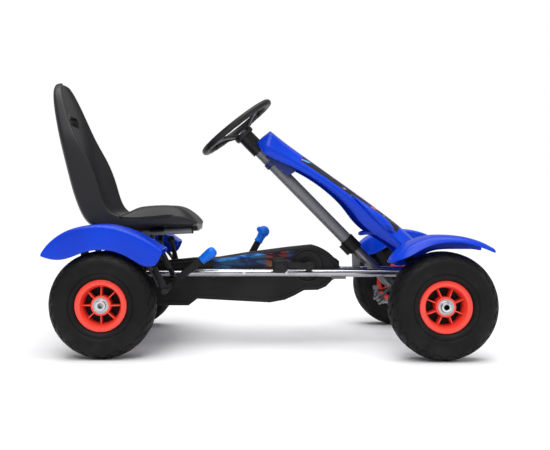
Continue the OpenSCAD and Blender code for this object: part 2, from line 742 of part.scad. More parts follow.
module crank_axle() color("silver") place()
    cross_rod(crank_x, crank_z, crank_axle_d, -arm_inner - arm_t, arm_inner + arm_t);

module crank_arm(side) {
    a = side > 0 ? crank_angle + 180 : crank_angle;
    tip = crank_len * [cos(a), sin(a)];
    y0 = side > 0 ? arm_inner : -arm_inner - arm_t;
    difference() {
        union() {
            cross_rod(crank_x, crank_z, 26, y0, y0 + arm_t);
            cross_rod(crank_x + tip[0], crank_z + tip[1], 20, y0, y0 + arm_t);
            translate([crank_x, y0, crank_z]) rotate([0, -a, 0]) translate([0, 0, -8])
                cube([crank_len, arm_t, 16]);
            pin = arm_inner + arm_t + pedal_len + 7;
            cross_rod(crank_x + tip[0], crank_z + tip[1], pin_d,
                      side > 0 ? y0 : -pin, side > 0 ? pin : y0 + arm_t);
            cross_rod(crank_x + tip[0], crank_z + tip[1], pin_d + 8,
                      side > 0 ? pin - 4 : -pin, side > 0 ? pin : 4 - pin);
        }
        cross_rod(crank_x, crank_z, crank_axle_d, y0 - 1, y0 + arm_t + 1);
    }
}
module crank_arm_right() color([0.2, 0.2, 0.2]) place() crank_arm(RIGHT);
module crank_arm_left() color([0.2, 0.2, 0.2]) place() crank_arm(LEFT);

pedal_half = 18;
module pedal(side) {
    a = side > 0 ? crank_angle + 180 : crank_angle;
    y0 = side * (arm_inner + arm_t + 1.5);
    translate([crank_x + crank_len * cos(a), y0, crank_z + crank_len * sin(a)])
        mirror([0, side > 0 ? 0 : 1, 0]) difference() {
            rotate([-90, 0, 0]) linear_extrude(pedal_len) polygon([for (q = [0:3], k = [0:2])
                let (c = 90 * q + 45, b = 90 * q + 45 * k)
                (pedal_half - 5) * sqrt(2) * [cos(c), sin(c)] + 5 * [cos(b), sin(b)]]);
            translate([0, -1, 0]) cross_rod(0, 0, pin_d + 2 * run_fit, 0, pedal_len + 2);
        }
}
module pedal_right() color("black") place() pedal(RIGHT);
module pedal_left() color("black") place() pedal(LEFT);

// ---------------------------------------------------------------- wheels

nut_t = 5;
nut_d = 24;
rear_end = rear_y + rear_hub_half + side_gap + nut_t;
module rear_axle() color("silver") place() difference() {
    cross_rod(0, wheel_z, axle_d, -rear_end, rear_end);
    for (side = [RIGHT, LEFT]) cross_rod(0, wheel_z, axle_d - 4,
        side > 0 ? rear_end - 14 : -rear_end - 1, side > 0 ? rear_end + 1 : 14 - rear_end);
}

// A plain round nut with its washer, on an axle of axle_d
module axle_nut(y0, y1) difference() {
    cross_rod(0, wheel_z, nut_d, y0, y1);
    cross_rod(0, wheel_z, axle_d, y0 - 1, y1 + 1);
}
module rear_axle_nuts() color("silver") place() for (side = [RIGHT, LEFT])
    axle_nut(side > 0 ? rear_end - nut_t : -rear_end, side > 0 ? rear_end : nut_t - rear_end);

rim_wall = 3;
rim_web_t = 3;                               // the disc that closes a rim halfway through
bead_r = rim_d / 2 - 11;
flange_t = 4;
module rim(x, y, side, turn) color("red") place() on_wheel(x, y, side) {
    half = rim_w / 2;
    difference() {
        union() {
            rotate_extrude($fn = 96) polygon([
                [bead_r - rim_wall, -half], [rim_d / 2, -half], [rim_d / 2, flange_t - half],
                [bead_r, flange_t - half], [bead_r, half - flange_t], [rim_d / 2, half - flange_t],
                [rim_d / 2, half], [bead_r - rim_wall, half]]);
            translate([0, 0, -rear_hub_half]) cylinder(d = hub_d, h = 2 * rear_hub_half);
            translate([0, 0, -rim_web_t / 2]) cylinder(r = bead_r - rim_wall + 0.5, h = rim_web_t);
            for (k = [0:rim_ribs - 1]) rotate([0, 0, (k + turn) * 360 / rim_ribs])
                translate([hub_d / 2 - 2, -1.75, -20])
                    cube([bead_r - rim_wall - hub_d / 2 + 3, 3.5, 44]);
        }
        translate([0, 0, -rear_hub_half - 1]) cylinder(d = bearing_d, h = 2 * rear_hub_half + 2);
    }
}

// Section of a tyre: the bead, the sidewall, the shoulder and half of the tread, as [r, z]
module tyre(x, y, side) color([0.1, 0.1, 0.1]) place() on_wheel(x, y, side) {
    half = tyre_w / 2;
    bead = rim_w / 2 - flange_t;
    sidewall = [[bead_r, bead - 0.2], [rim_d / 2 + 0.3, bead - 0.2], [rim_d / 2 + 0.3, half - 8],
                [rim_d / 2 + 7, half - 4], [rim_d / 2 + 15, half - 1.5], [tyre_r - 32, half],
                [tyre_r - 16, half - 1.5], [tyre_r - 8, half - 5], [tyre_r - 3, half - 12],
                [tyre_r, half - 24]];
    hollow = [[bead_r - 1, bead - 10], [rim_d / 2 + 4, half - 13], [tyre_r - 30, half - 8],
              [tyre_r - 14, half - 12], [tyre_r - 9, half - 26]];
    rotate_extrude($fn = 96) difference() {
        polygon(concat(sidewall, [for (k = [len(sidewall) - 1:-1:0])
            [sidewall[k][0], -sidewall[k][1]]]));
        polygon(concat(hollow, [for (k = [len(hollow) - 1:-1:0]) [hollow[k][0], -hollow[k][1]]]));
    }
}

// The two bearings of a wheel, as one group, each with its dished cover
module hub(x, y, side, fit) color("silver") place() on_wheel(x, y, side) difference() {
    for (z = [-rear_hub_half, rear_hub_half - 12]) translate([0, 0, z]) cylinder(d = bearing_d, h = 12);
    translate([0, 0, -rear_hub_half - 1]) cylinder(d = axle_d + 2 * fit, h = 2 * rear_hub_half + 2);
}

module rim_rear_left() rim(0, rear_y, LEFT, 0);
module tyre_rear_left() tyre(0, rear_y, LEFT);
module hub_rear_left() hub(0, rear_y, LEFT, 0);
module rim_rear_right() rim(0, rear_y, RIGHT, 0);
module tyre_rear_right() tyre(0, rear_y, RIGHT);
module hub_rear_right() hub(0, rear_y, RIGHT, run_fit);
module rim_front_right() rim(front_x, front_y, RIGHT, 0.5);
module tyre_front_right() tyre(front_x, front_y, RIGHT);
module hub_front_right() hub(front_x, front_y, RIGHT, run_fit);
module rim_front_left() rim(front_x, front_y, LEFT, 0.5);
module tyre_front_left() tyre(front_x, front_y, LEFT);
module hub_front_left() hub(front_x, front_y, LEFT, run_fit);

// ---------------------------------------------------------------- steering

module knuckle(side) {
    front_end = front_y + rear_hub_half + side_gap + nut_t;
    stay_y = front_y + front_fender_proud - front_fender_w + skin;
    stay_end = grow(-72, 112);
    mirror([0, side > 0 ? 0 : 1, 0]) {
        difference() {
            union() {
                translate([front_x, king_y, wheel_z - barrel_h / 2])
                    cylinder(d = barrel_d, h = barrel_h);
                cross_rod(front_x, wheel_z, axle_d, king_y, front_end);
                cross_rod(front_x, wheel_z, axle_d + 8, king_y, front_y - rear_hub_half - side_gap);
                translate([front_x - knuckle_arm, king_y - 8, arm_z - 3])
                    cube([knuckle_arm, 16, 6]);
                translate([front_x - knuckle_arm, king_y, arm_z - 3]) cylinder(d = 20, h = 6);
                // the stay that carries the front fender, against the inside of its inner skirt
                side_plate([for (p = [[-8, 0], [8, 0], [-64, 124], [-84, 112]])
                    [front_x, wheel_z] + (p[1] > 0 ? grow(p[0], p[1]) : p)], stay_y, stay_y + 4);
                cross_rod(front_x + stay_end[0], wheel_z + stay_end[1], 9, stay_y, stay_y + 8);
            }
            translate([front_x, king_y, 0]) cylinder(d = king_d + 2 * run_fit, h = wheel_z * 2);
            cross_rod(front_x, wheel_z, axle_d - 4, front_end - 14, front_end + 1);
            translate([front_x - knuckle_arm, king_y, arm_z - 5])
                cylinder(d = stud_d + 2 * run_fit, h = 10);
        }
        translate([front_x, 0, 0]) axle_nut(front_end - nut_t, front_end);
    }
}
module knuckle_right() color("dimgray") place() knuckle(RIGHT);
module knuckle_left() color("dimgray") place() knuckle(LEFT);

rod_d = 9;
// The tie rods' inner eyes share one stud, the left one above the pitman plate
module tie_rod(side) {
    lift = -side * (pitman_t / 2 + pitman_gap + eye_t / 2);
    inner = [joint_x + lift * u_x, 0, arm_z + lift * u_z];
    outer = [front_x - knuckle_arm, side * king_y, arm_z + 3 + side_gap + 6];
    eye_r = stud_d / 2 + eye_slack;
    difference() {
        union() {
            rod(inner, outer, rod_d);
            translate(inner) rotate([0, 90 + column_rake, 0])
                cylinder(r = eye_r + 4, h = eye_t, center = true);
            translate([outer[0], outer[1], arm_z + 3 + side_gap]) cylinder(d = 18, h = 11);
            translate([outer[0], outer[1], arm_z - 3 - side_gap])
                cylinder(d = stud_d, h = 8);
            translate([outer[0], outer[1], arm_z - 3 - side_gap - 4]) cylinder(d = 14, h = 4);
        }
        translate(inner) rotate([0, 90 + column_rake, 0])
            cylinder(r = eye_r, h = 3 * eye_t, center = true);
        translate(inner) rotate([0, 90 + column_rake, 0]) for (end = [-1, 1])
            translate([0, 0, end * (eye_t / 2 + 10)]) cylinder(r = eye_r + 6, h = 20, center = true);
    }
}
module tie_rod_right() color("silver") place() tie_rod(RIGHT);
module tie_rod_left() color("silver") place() tie_rod(LEFT);

spoke_d = 13;
module steering_wheel() color([0.12, 0.12, 0.12]) place() on_column() {
    rotate([0, wheel_tilt, 0]) {
        rotate_extrude($fn = 96) translate([wheel_r, 0]) circle(d = wheel_rim_d, $fn = 32);
        for (a = [45:90:315]) rotate([0, 0, a])
            rod([20, 0, dish - 11], [wheel_r - 2, 0, 0], spoke_d);
    }
    translate([0, 0, dish - 14]) cylinder(d = 58, h = 14);
}

module steering_boss() color("black") place() {
    on_column(dish) difference() {
        cylinder(d = boss_d, h = boss_end - dish);
        translate([0, 0, 10]) cylinder(d = shaft_d, h = boss_end);
    }
    on_column((dish + boss_end) / 2) rotate([90, 0, 0]) {
        translate([0, 0, boss_d / 2]) cylinder(d = 12, h = 4, $fn = 6);
    }
}

module steering_shaft() color("silver") place() {
    on_column(dish + 10) cylinder(d = shaft_d, h = column_len - dish - 10 + pitman_t / 2);
    on_column(column_len) {
        difference() {
            translate([0, 0, -pitman_t / 2]) union() {
                cylinder(d = 30, h = pitman_t);
                translate([0, -10, 0]) cube([pitman_len, 20, pitman_t]);
                translate([pitman_len, 0, 0]) cylinder(d = 20, h = pitman_t);
            }
            cylinder(d = shaft_d - 1, h = 40, center = true);
        }
        reach = pitman_t / 2 + pitman_gap * 2 + eye_t + 2;
        translate([pitman_len, 0, 0]) cylinder(d = stud_d, h = 2 * reach, center = true);
    }
}

// ---------------------------------------------------------------- levers

shoe_half = 25;
module brake_lever() color("black") place() {
    shaft_end = rear_y + shoe_half;
    cross_rod(brake_x, brake_z, brake_shaft_d, -shaft_end, shaft_end);
    translate([brake_x, brake_y, brake_z]) rotate([0, -brake_angle, 0]) {
        translate([0, -lever_t / 2, -lever_w / 2]) cube([brake_len - 20, lever_t, lever_w]);
        cross_rod(0, 0, 26, -lever_t, lever_t);
    }
    for (side = [RIGHT, LEFT]) {
        y0 = side * rear_y - shoe_half;
        r = tyre_r + brake_gap;
        // a curved shoe in front of the tread, and the arm that carries it
        side_plate(concat(
            [for (a = [18:4:50]) [r * cos(a), wheel_z + r * sin(a)]],
            [for (a = [50:-4:18]) [(r + 4) * cos(a), wheel_z + (r + 4) * sin(a)]]),
            y0, y0 + 2 * shoe_half);
        mid = [(r + 4) * cos(34), wheel_z + (r + 4) * sin(34)];
        side_plate([[brake_x - 6, brake_z + 2], [brake_x + 7, brake_z + 5],
                    mid + [9, 9], mid + [-1, 0], mid + [5, -11]],
                   side * rear_y - 8, side * rear_y + 8);
    }
}

module brake_grip() color("dodgerblue") place()
    translate([brake_x, brake_y, brake_z]) rotate([0, 90 - brake_angle, 0]) difference() {
        union() {
            translate([0, 0, brake_len - 48]) cylinder(d1 = 24, d2 = 29, h = 34);
            translate([0, 0, brake_len - 14.5]) sphere(d = 29);
        }
        translate([-lever_w / 2, -lever_t / 2, 0]) cube([lever_w, lever_t, brake_len - 20]);
    }

module coast_lever() color("black") place()
    translate([coast_x, coast_y, coast_z]) rotate([0, -coast_angle, 0]) difference() {
        union() {
            translate([0, -lever_t / 2, -lever_w / 2]) cube([coast_len - 8, lever_t, lever_w]);
            cross_rod(0, 0, 24, -lever_t / 2, lever_t / 2);
        }
        cross_rod(0, 0, 10 + 2 * run_fit, -lever_t, lever_t);
    }

module coast_knob() color("dodgerblue") place()
    translate([coast_x, coast_y, coast_z]) rotate([0, 90 - coast_angle, 0]) difference() {
        union() {
            translate([0, 0, coast_len - 34]) cylinder(d = 24, h = 22);
            translate([0, 0, coast_len]) sphere(d = 33);
            translate([-14, 0, coast_len]) sphere(d = 16);
        }
        translate([-lever_w / 2, -lever_t / 2, 0]) cube([lever_w, lever_t, coast_len - 8]);
    }

// ---------------------------------------------------------------- seat

// Seat stations from the front of the pan to the top of the back, each a cross-section:
// [x, z, direction of the section, half width, wing length, middle thickness, step half, step]
seat_half = seat_w / 2;
seat_stations = [
    [226, 303, 90, seat_half - 16, 22, 20, 92, 16],
    [214, 302, 90, seat_half - 8, 30, 37, 94, 16],
    [192, 302, 90, seat_half - 3, 40, 55, 95, 16],
    [166, 302, 90, seat_half, 45, 69, 95, 15],
    [125, 302, 90, seat_half, 42, 70, 95, 14],
    [84, 302, 84, seat_half, 38, 68, 95, 12],
    [48, 302, 68, seat_half, 38, 71, 95, 10],
    [12, 302, 52, seat_half, 46, 79, 96, 8],
    [-22, 303, 42, seat_half, 60, 62, 98, 7],
    [-48, 308, 36, seat_half, 70, 46, 104, 8],
    [-68, 322, 28, seat_half, 73, 38, 110, 8],
    [-83, 344, 22, seat_half, 72, 32, seat_half - 34, 8],
    [-96, 378, 17, seat_half, 72, 28, seat_half - 30, 8],
    [-108, 416, 15, seat_half, 74, 26, seat_half - 28, 8],
    [-120, 464, 12, seat_half, 70, 25, seat_half - 28, 8],
    [-131, 508, 10, seat_half - 1, 60, 25, seat_half - 28, 8],
    [-141, 548, 9, seat_half - 4, 48, 25, seat_half - 30, 8],
    [-152, 592, 8, seat_half - 16, 41, 25, seat_half - 42, 8],
    [-162, 634, 8, seat_half - 30, 35, 24, seat_half - 56, 8],
    [-170, 672, 8, seat_half - 54, 29, 22, seat_half - 80, 7],
    [-173, 692, 8, seat_half - 84, 25, 19, seat_half - 106, 5],
    [-171, 704, 8, seat_half - 116, 19, 15, seat_half - 130, 4]
];
function seat_ring(s, t) = let (w = s[3], h = s[4], m = s[5], c = s[6], b = s[7],
        d = [cos(s[2]), sin(s[2])], in = min(w - t, w * 0.8), lean = min(10, w * 0.15))
    [for (p = [[-w, h], [-w, b + 2], [-c - 3, b], [-c, 0], [c, 0], [c + 3, b], [w, b + 2], [w, h],
               [w - t, h - 2], [in - lean, m], [0, m * 0.94], [lean - in, m], [t - w, h - 2]])
        [s[0] + p[1] * d[0], p[0], s[1] + p[1] * d[1]]];

slot_half = 62;
slot_h = 30;
module seat_shell() color([0.15, 0.15, 0.16]) place() difference() {
    loft([for (s = seat_stations) seat_ring(s, seat_wall)]);
    translate([-190, -slot_half, 606]) rotate([0, -8, 0]) cube([120, 2 * slot_half, slot_h]);
}

// Saddles that sit over the seat rails and carry the pan
saddle_wall = 4;
module seat_sliders() color("dimgray") place() for (side = [RIGHT, LEFT], x = slider_x) {
    r = seat_rail_d / 2 + run_fit;
    translate([x, side * seat_rail_y, seat_rail_z(x)]) rotate([0, 90 - seat_rail_rise, 0])
        difference() {
            translate([0, 0, -slider_len / 2]) cylinder(r = r + saddle_wall, h = slider_len);
            cylinder(r = r, h = 3 * slider_len, center = true);
            translate([-1, -30, -slider_len]) cube([30, 60, 2 * slider_len]);
        }
}

// ---------------------------------------------------------------- which node

frame_rail_right();
frame_rail_left();
frame_crossmembers();
front_beam();
bearing_hangers();
column_lower_tube();
column_upper_tube();
column_clamp();
bushes();
axle_bearings();
nose_fairing();
fairing_bracket();
rear_fender_right();
rear_fender_left();
fender_stays();
seat_rail_right();
seat_rail_left();
seat_supports();
tube_caps();
frame_bolts();
chain_cover_right();
chain_cover_left();
drive_chain();
brake_spring();
seat_shell();
seat_sliders();
crank_axle();
chainring();
crank_arm_right();
crank_arm_left();
pedal_right();
pedal_left();
rear_axle();
rear_sprocket();
rear_axle_nuts();
rim_rear_left();
tyre_rear_left();
hub_rear_left();
rim_rear_right();
tyre_rear_right();
hub_rear_right();
knuckle_right();
knuckle_left();
front_fender_right();
front_fender_left();
rim_front_right();
tyre_front_right();
hub_front_right();
rim_front_left();
tyre_front_left();
hub_front_left();
tie_rod_right();
tie_rod_left();
steering_wheel();
steering_boss();
steering_shaft();
brake_lever();
brake_grip();
coast_lever();
coast_knob();
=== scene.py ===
import json
import math

import bmesh
import bpy
from mathutils import Matrix, Vector


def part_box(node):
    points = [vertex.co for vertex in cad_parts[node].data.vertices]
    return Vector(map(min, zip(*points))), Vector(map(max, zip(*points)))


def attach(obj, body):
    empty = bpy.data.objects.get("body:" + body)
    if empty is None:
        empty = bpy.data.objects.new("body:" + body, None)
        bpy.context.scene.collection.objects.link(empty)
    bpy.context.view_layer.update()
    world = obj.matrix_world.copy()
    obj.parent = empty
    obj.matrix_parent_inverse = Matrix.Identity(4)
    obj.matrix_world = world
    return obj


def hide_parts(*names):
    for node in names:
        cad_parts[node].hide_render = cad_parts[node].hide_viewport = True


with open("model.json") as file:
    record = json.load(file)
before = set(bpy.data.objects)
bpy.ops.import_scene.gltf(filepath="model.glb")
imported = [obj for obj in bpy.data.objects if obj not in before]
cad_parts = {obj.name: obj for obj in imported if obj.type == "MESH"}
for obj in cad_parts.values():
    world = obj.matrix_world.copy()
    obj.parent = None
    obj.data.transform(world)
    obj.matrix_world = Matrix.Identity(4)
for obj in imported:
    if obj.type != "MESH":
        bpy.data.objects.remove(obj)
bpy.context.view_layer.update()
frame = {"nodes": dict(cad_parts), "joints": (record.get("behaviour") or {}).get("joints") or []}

bl_info = {
    "name": "Pedal Go Kart Finish",
    "version": (1, 0, 0),
    "blender": (4, 5, 0),
    "location": "3D View > Sidebar > Kart",
    "description": "Builds the tyres, rims, mouldings and finishes of a pedal go kart on its frame",
    "category": "Object",
}

MM = 0.001
RIGHT, LEFT = -1, 1
SIDES = ((RIGHT, "right"), (LEFT, "left"))
# Half the width of the chain cover
COVER_HALF = 0.028


def centre(node):
    """Middle of a CAD node's box."""
    low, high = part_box(node)
    return (low + high) / 2


def breadth(node):
    """Size of a CAD node's box along each axis."""
    low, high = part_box(node)
    return high - low


REAR_AXLE = Vector((centre("tyre_rear_right").x, 0, centre("tyre_rear_right").z))
FRONT_AXLE = Vector((centre("tyre_front_right").x, 0, centre("tyre_front_right").z))
CRANK = Vector((centre("crank_axle").x, 0, centre("crank_axle").z))
REAR_Y = centre("tyre_rear_left").y
FRONT_Y = centre("tyre_front_left").y
JOINTS = {joint["name"]: joint for joint in frame["joints"]}
COLUMN_DOWN = -Vector(JOINTS["steering_turn"]["axis"]).normalized()
WHEEL_HUB = Vector(JOINTS["steering_turn"]["pos_m"])


# ------------------------------------------------------------------ sizes and colours

def length(label, default, description):
    """A size in metres, for the panel."""
    return bpy.props.FloatProperty(
        name=label, default=default, description=description, min=0.0,
        subtype="DISTANCE", unit="LENGTH", precision=4)


def colour(label, default, description):
    """A colour, for the panel."""
    return bpy.props.FloatVectorProperty(
        name=label, default=default, description=description, size=3, min=0.0, max=1.0,
        subtype="COLOR")


class KartTyres(bpy.types.PropertyGroup):
    radius: length("Radius", breadth("tyre_rear_right").z / 2 - 0.0001, "Radius over the tread")
    width: length("Width", breadth("tyre_rear_right").y - 0.0002, "Width over the sidewalls")
    block_depth: length("Block depth", 0.0016, "How far a tread block stands out")
    sectors: bpy.props.IntProperty(
        name="Sectors", default=96, min=24, max=160, description="Divisions round the tyre")


class KartRims(bpy.types.PropertyGroup):
    radius: length("Radius", breadth("rim_rear_right").z / 2, "Radius of the flange")
    width: length("Width", 0.066, "Width over the flanges")
    hub_radius: length("Hub radius", 0.024, "Radius of the hub sleeve")
    rib_thickness: length("Rib thickness", 0.0028, "Thickness of a rib")
    ribs: bpy.props.IntProperty(name="Ribs", default=8, min=3, max=16, description="Ribs in a rim")


class KartBodywork(bpy.types.PropertyGroup):
    skin: length("Skin", 0.003, "Wall of the mouldings")
    smoothing: bpy.props.IntProperty(
        name="Smoothing", default=2, min=0, max=3, description="Subdivision of the mouldings")


class KartSteeringWheel(bpy.types.PropertyGroup):
    radius: length("Radius", 0.109, "Radius to the middle of the rim")
    rim_thickness: length("Rim thickness", 0.019, "Thickness of the rim")


class KartColours(bpy.types.PropertyGroup):
    body: colour("Body", (0.0005, 0.046, 0.60), "Fenders and fairing")
    body_deep: colour("Body in its hollows", (0.0005, 0.032, 0.46), "Fenders and fairing, hollows")
    grip: colour("Grips", (0.002, 0.15, 0.78), "Grip and knob of the levers")
    rim: colour("Rims", (0.58, 0.014, 0.008), "Wheel rims")
    rubber: colour("Rubber", (0.0036, 0.0036, 0.004), "Tyres")
    seat: colour("Seat", (0.010, 0.010, 0.012), "Seat shell")
    steel: colour("Bright steel", (0.42, 0.42, 0.44), "Main tubes")
    column: colour("Column", (0.012, 0.020, 0.032), "Upper column tube")


SETTINGS = {"kart_tyres": KartTyres, "kart_rims": KartRims, "kart_bodywork": KartBodywork,
            "kart_steering_wheel": KartSteeringWheel, "kart_colours": KartColours}


# ------------------------------------------------------------------ shader node helpers

def add(tree, kind, inputs=None, **settings):
    """A node with its settings; an input is given a value, or a socket to be joined to."""
    node = tree.nodes.new(kind)
    for name, value in settings.items():
        setattr(node, name, value)
    for label, value in (inputs or {}).items():
        if isinstance(value, bpy.types.NodeSocket):
            tree.links.new(value, node.inputs[label])
        else:
            node.inputs[label].default_value = value
    return node


def effect(name, inputs, outputs):
    """An empty node group with named sockets, and its two end nodes."""
    tree = bpy.data.node_groups.new(name, "ShaderNodeTree")
    for label, default in inputs.items():
        kind = "NodeSocketColor" if isinstance(default, tuple) else (
            "NodeSocketVector" if default is None else "NodeSocketFloat")
        socket = tree.interface.new_socket(label, in_out="INPUT", socket_type=kind)
        if default is not None:
            socket.default_value = default
    for label, kind in outputs.items():
        tree.interface.new_socket(label, in_out="OUTPUT", socket_type=f"NodeSocket{kind}")
    return tree, tree.nodes.new("NodeGroupInput").outputs, tree.nodes.new("NodeGroupOutput").inputs


def ramp(tree, value, low, high, to_low=0.0, to_high=1.0):
    """A soft step from one value to another as the input goes from low to high."""
    return add(tree, "ShaderNodeMapRange", {"Value": value, "From Min": low, "From Max": high,
               "To Min": to_low, "To Max": to_high}, interpolation_type="SMOOTHSTEP").outputs[0]


def maths(tree, operation, a, b=0.0):
    """One sum on two values or sockets."""
    return add(tree, "ShaderNodeMath", {0: a, 1: b}, operation=operation).outputs[0]


def mix_colours(tree, factor, a, b):
    """Colour a where the factor is 0, colour b where it is 1."""
    node = tree.nodes.new("ShaderNodeMix")
    node.data_type = "RGBA"
    for index, value in ((0, factor), (6, a), (7, b)):
        if isinstance(value, bpy.types.NodeSocket):
            tree.links.new(value, node.inputs[index])
        else:
            node.inputs[index].default_value = value
    return node.outputs[2]


def tints(tree, value, first, middle, last):
    """Three colours along a value, each given as (place, colour)."""
    node = add(tree, "ShaderNodeValToRGB", {"Fac": value})
    stops = node.color_ramp.elements
    stops[0].position, stops[0].color = first[0], rgba(first[1])
    stops[1].position, stops[1].color = last[0], rgba(last[1])
    stops.new(middle[0]).color = rgba(middle[1])
    return node.outputs[0]


def rgba(rgb):
    """The same colour with an alpha of 1."""
    return (rgb[0], rgb[1], rgb[2], 1.0)


def tone_drift():
    """Two tones of one colour, drifting over the surface."""
    tree, given, out = effect("tone_drift", {
        "Vector": None, "Light": (1.0, 1.0, 1.0, 1.0), "Dark": (0.5, 0.5, 0.5, 1.0),
        "Scale": 9.0, "Low": 0.35, "High": 0.7}, {"Color": "Color", "Mask": "Float"})
    noise = add(tree, "ShaderNodeTexNoise", {"Vector": given["Vector"], "Scale": given["Scale"],
                "Detail": 4.0, "Roughness": 0.55})
    mask = ramp(tree, noise.outputs[0], given["Low"], given["High"])
    tree.links.new(mix_colours(tree, mask, given["Light"], given["Dark"]), out["Color"])
    tree.links.new(mask, out["Mask"])
    return tree


def moulded_grain():
    """The fine pebble of moulded plastic, powder coat or rubber, as a height."""
    tree, given, out = effect("moulded_grain", {"Vector": None, "Scale": 900.0, "Coarse": 0.4},
                              {"Height": "Float"})
    fine = add(tree, "ShaderNodeTexNoise", {"Vector": given["Vector"], "Scale": given["Scale"],
               "Detail": 2.0})
    cell = add(tree, "ShaderNodeTexVoronoi", {"Vector": given["Vector"], "Scale": given["Scale"]},
               feature="SMOOTH_F1")
    pebble = maths(tree, "MULTIPLY", cell.outputs["Distance"], given["Coarse"])
    tree.links.new(maths(tree, "ADD", fine.outputs[0], pebble), out["Height"])
    return tree


def scuffs():
    """Sparse fine scratches, drawn out one way, as a mask."""
    tree, given, out = effect("scuffs", {"Vector": None, "Scale": 60.0, "Amount": 0.4},
                              {"Mask": "Float"})
    drawn = add(tree, "ShaderNodeMapping", {"Vector": given["Vector"], "Scale": (1.0, 6.0, 9.0)})
    lines = add(tree, "ShaderNodeTexNoise", {"Vector": drawn.outputs[0], "Scale": given["Scale"],
                "Detail": 3.0, "Roughness": 0.6})
    patches = add(tree, "ShaderNodeTexNoise", {"Vector": given["Vector"], "Scale": 12.0})
    fine = ramp(tree, lines.outputs[0], 0.60, 0.72)
    where = ramp(tree, patches.outputs[0], 0.45, 0.65)
    both = maths(tree, "MULTIPLY", fine, where)
    tree.links.new(maths(tree, "MULTIPLY", both, given["Amount"]), out["Mask"])
    return tree


def settled_dust():
    """Pale dust that thins out with height above the floor, over a colour."""
    tree, given, out = effect("settled_dust", {
        "Vector": None, "Color": (0.1, 0.1, 0.1, 1.0), "Dust": (0.16, 0.14, 0.12, 1.0),
        "Top": 0.2, "Amount": 0.3}, {"Color": "Color", "Mask": "Float"})
    split = add(tree, "ShaderNodeSeparateXYZ", {"Vector": given["Vector"]})
    low = ramp(tree, split.outputs["Z"], given["Top"], 0.0)
    specks = add(tree, "ShaderNodeTexNoise", {"Vector": given["Vector"], "Scale": 38.0,
                 "Detail": 5.0, "Roughness": 0.65})
    where = maths(tree, "MULTIPLY", low, ramp(tree, specks.outputs[0], 0.4, 0.75))
    mask = maths(tree, "MULTIPLY", where, given["Amount"])
    tree.links.new(mix_colours(tree, mask, given["Color"], given["Dust"]), out["Color"])
    tree.links.new(mask, out["Mask"])
    return tree


EFFECTS = {"tone_drift": tone_drift, "moulded_grain": moulded_grain, "scuffs": scuffs,
           "settled_dust": settled_dust}


def use(tree, name, inputs):
    """Places an effect in a material; it is built the first time that it is asked for."""
    group = bpy.data.node_groups.get(name) or EFFECTS[name]()
    return add(tree, "ShaderNodeGroup", inputs, node_tree=group).outputs


# ------------------------------------------------------------------ finishes

def finish(name, light, dark, drift=9.0, rough=(0.35, 0.5), grain=(900.0, 0.03), scratch=0.1,
           dust=0.0, dust_top=0.25, metallic=0.0, coat=0.0, shine=0.5, brushed=None,
           pattern=None):
    """A material with drifting tone, grain, scratches and dust.

    light and dark are its two tones and drift the scale on which they change; rough holds the
    least and the most roughness, grain the grain's scale and strength. pattern(tree, where,
    colour) may draw over the colour, and brushed stretches the grain into a drawn metal's lines.
    """
    found = bpy.data.materials.get(name)
    if found:
        return found
    material = bpy.data.materials.new(name)
    material.use_nodes = True
    tree = material.node_tree
    shader = tree.nodes["Principled BSDF"]
    shader.inputs["Metallic"].default_value = metallic
    shader.inputs["Coat Weight"].default_value = coat
    shader.inputs["Specular IOR Level"].default_value = shine
    shader.inputs["Coat Roughness"].default_value = 0.08
    where = add(tree, "ShaderNodeTexCoord").outputs["Object"]
    tone = use(tree, "tone_drift", {"Vector": where, "Light": rgba(light), "Dark": rgba(dark),
                                    "Scale": drift})
    shade = tone["Color"]
    if pattern:
        shade = pattern(tree, where, shade)
    marks = use(tree, "scuffs", {"Vector": where, "Amount": scratch})["Mask"]
    polish = ramp(tree, tone["Mask"], 0.0, 1.0, rough[0], rough[1])
    polish = maths(tree, "ADD", polish, maths(tree, "MULTIPLY", marks, 0.25))
    if dust:
        settled = use(tree, "settled_dust", {"Vector": where, "Color": shade, "Top": dust_top,
                                             "Amount": dust})
        shade = settled["Color"]
        polish = maths(tree, "ADD", polish, maths(tree, "MULTIPLY", settled["Mask"], 0.4))
    height_at = where
    if brushed:
        height_at = add(tree, "ShaderNodeMapping", {"Vector": where, "Scale": brushed}).outputs[0]
    height = use(tree, "moulded_grain", {"Vector": height_at, "Scale": grain[0]})["Height"]
    bump = add(tree, "ShaderNodeBump", {"Height": height, "Strength": grain[1],
               "Distance": 0.0006})
    tree.links.new(shade, shader.inputs["Base Color"])
    tree.links.new(polish, shader.inputs["Roughness"])
    tree.links.new(bump.outputs[0], shader.inputs["Normal"])
    return material


def shades(rgb, factor):
    """A colour made darker or lighter."""
    return [min(1.0, channel * factor) for channel in rgb]


def colours():
    """The colours set in the panel."""
    return bpy.context.scene.kart_colours


def body_blue():
    return finish("body_blue", colours().body, colours().body_deep, drift=3.5,
                  rough=(0.26, 0.34), grain=(420.0, 0.008), scratch=0.03, coat=0.05, shine=0.22)


# A dark navy copy of the body blue: painted shade on the bracket and inner wall under the fairing, which
# sit in shadow.
def painted_shade_bracket_blue():
    return finish("painted_shade_bracket_blue", (0.004, 0.02, 0.16), (0.002, 0.01, 0.09), rough=(0.35, 0.5))


def grip_blue():
    return finish("grip_blue", colours().grip, shades(colours().grip, 0.75), drift=30.0,
                  rough=(0.28, 0.4), grain=(700.0, 0.01), scratch=0.03, shine=0.25)


def rim_red():
    return finish("rim_red", colours().rim, shades(colours().rim, 0.8), drift=14.0,
                  rough=(0.42, 0.54), grain=(1200.0, 0.03), scratch=0.08, dust=0.03, shine=0.3)


# Near-black. On the rim's web it is painted shade, standing in for the dark seen through the open
# windows between the ribs. On the bearings it is the seals' own black.
def painted_shade_web_and_seal_black():
    return finish("painted_shade_web_and_seal_black", (0.008, 0.007, 0.007), (0.004, 0.004, 0.004), rough=(0.55, 0.7),
                  shine=0.2)


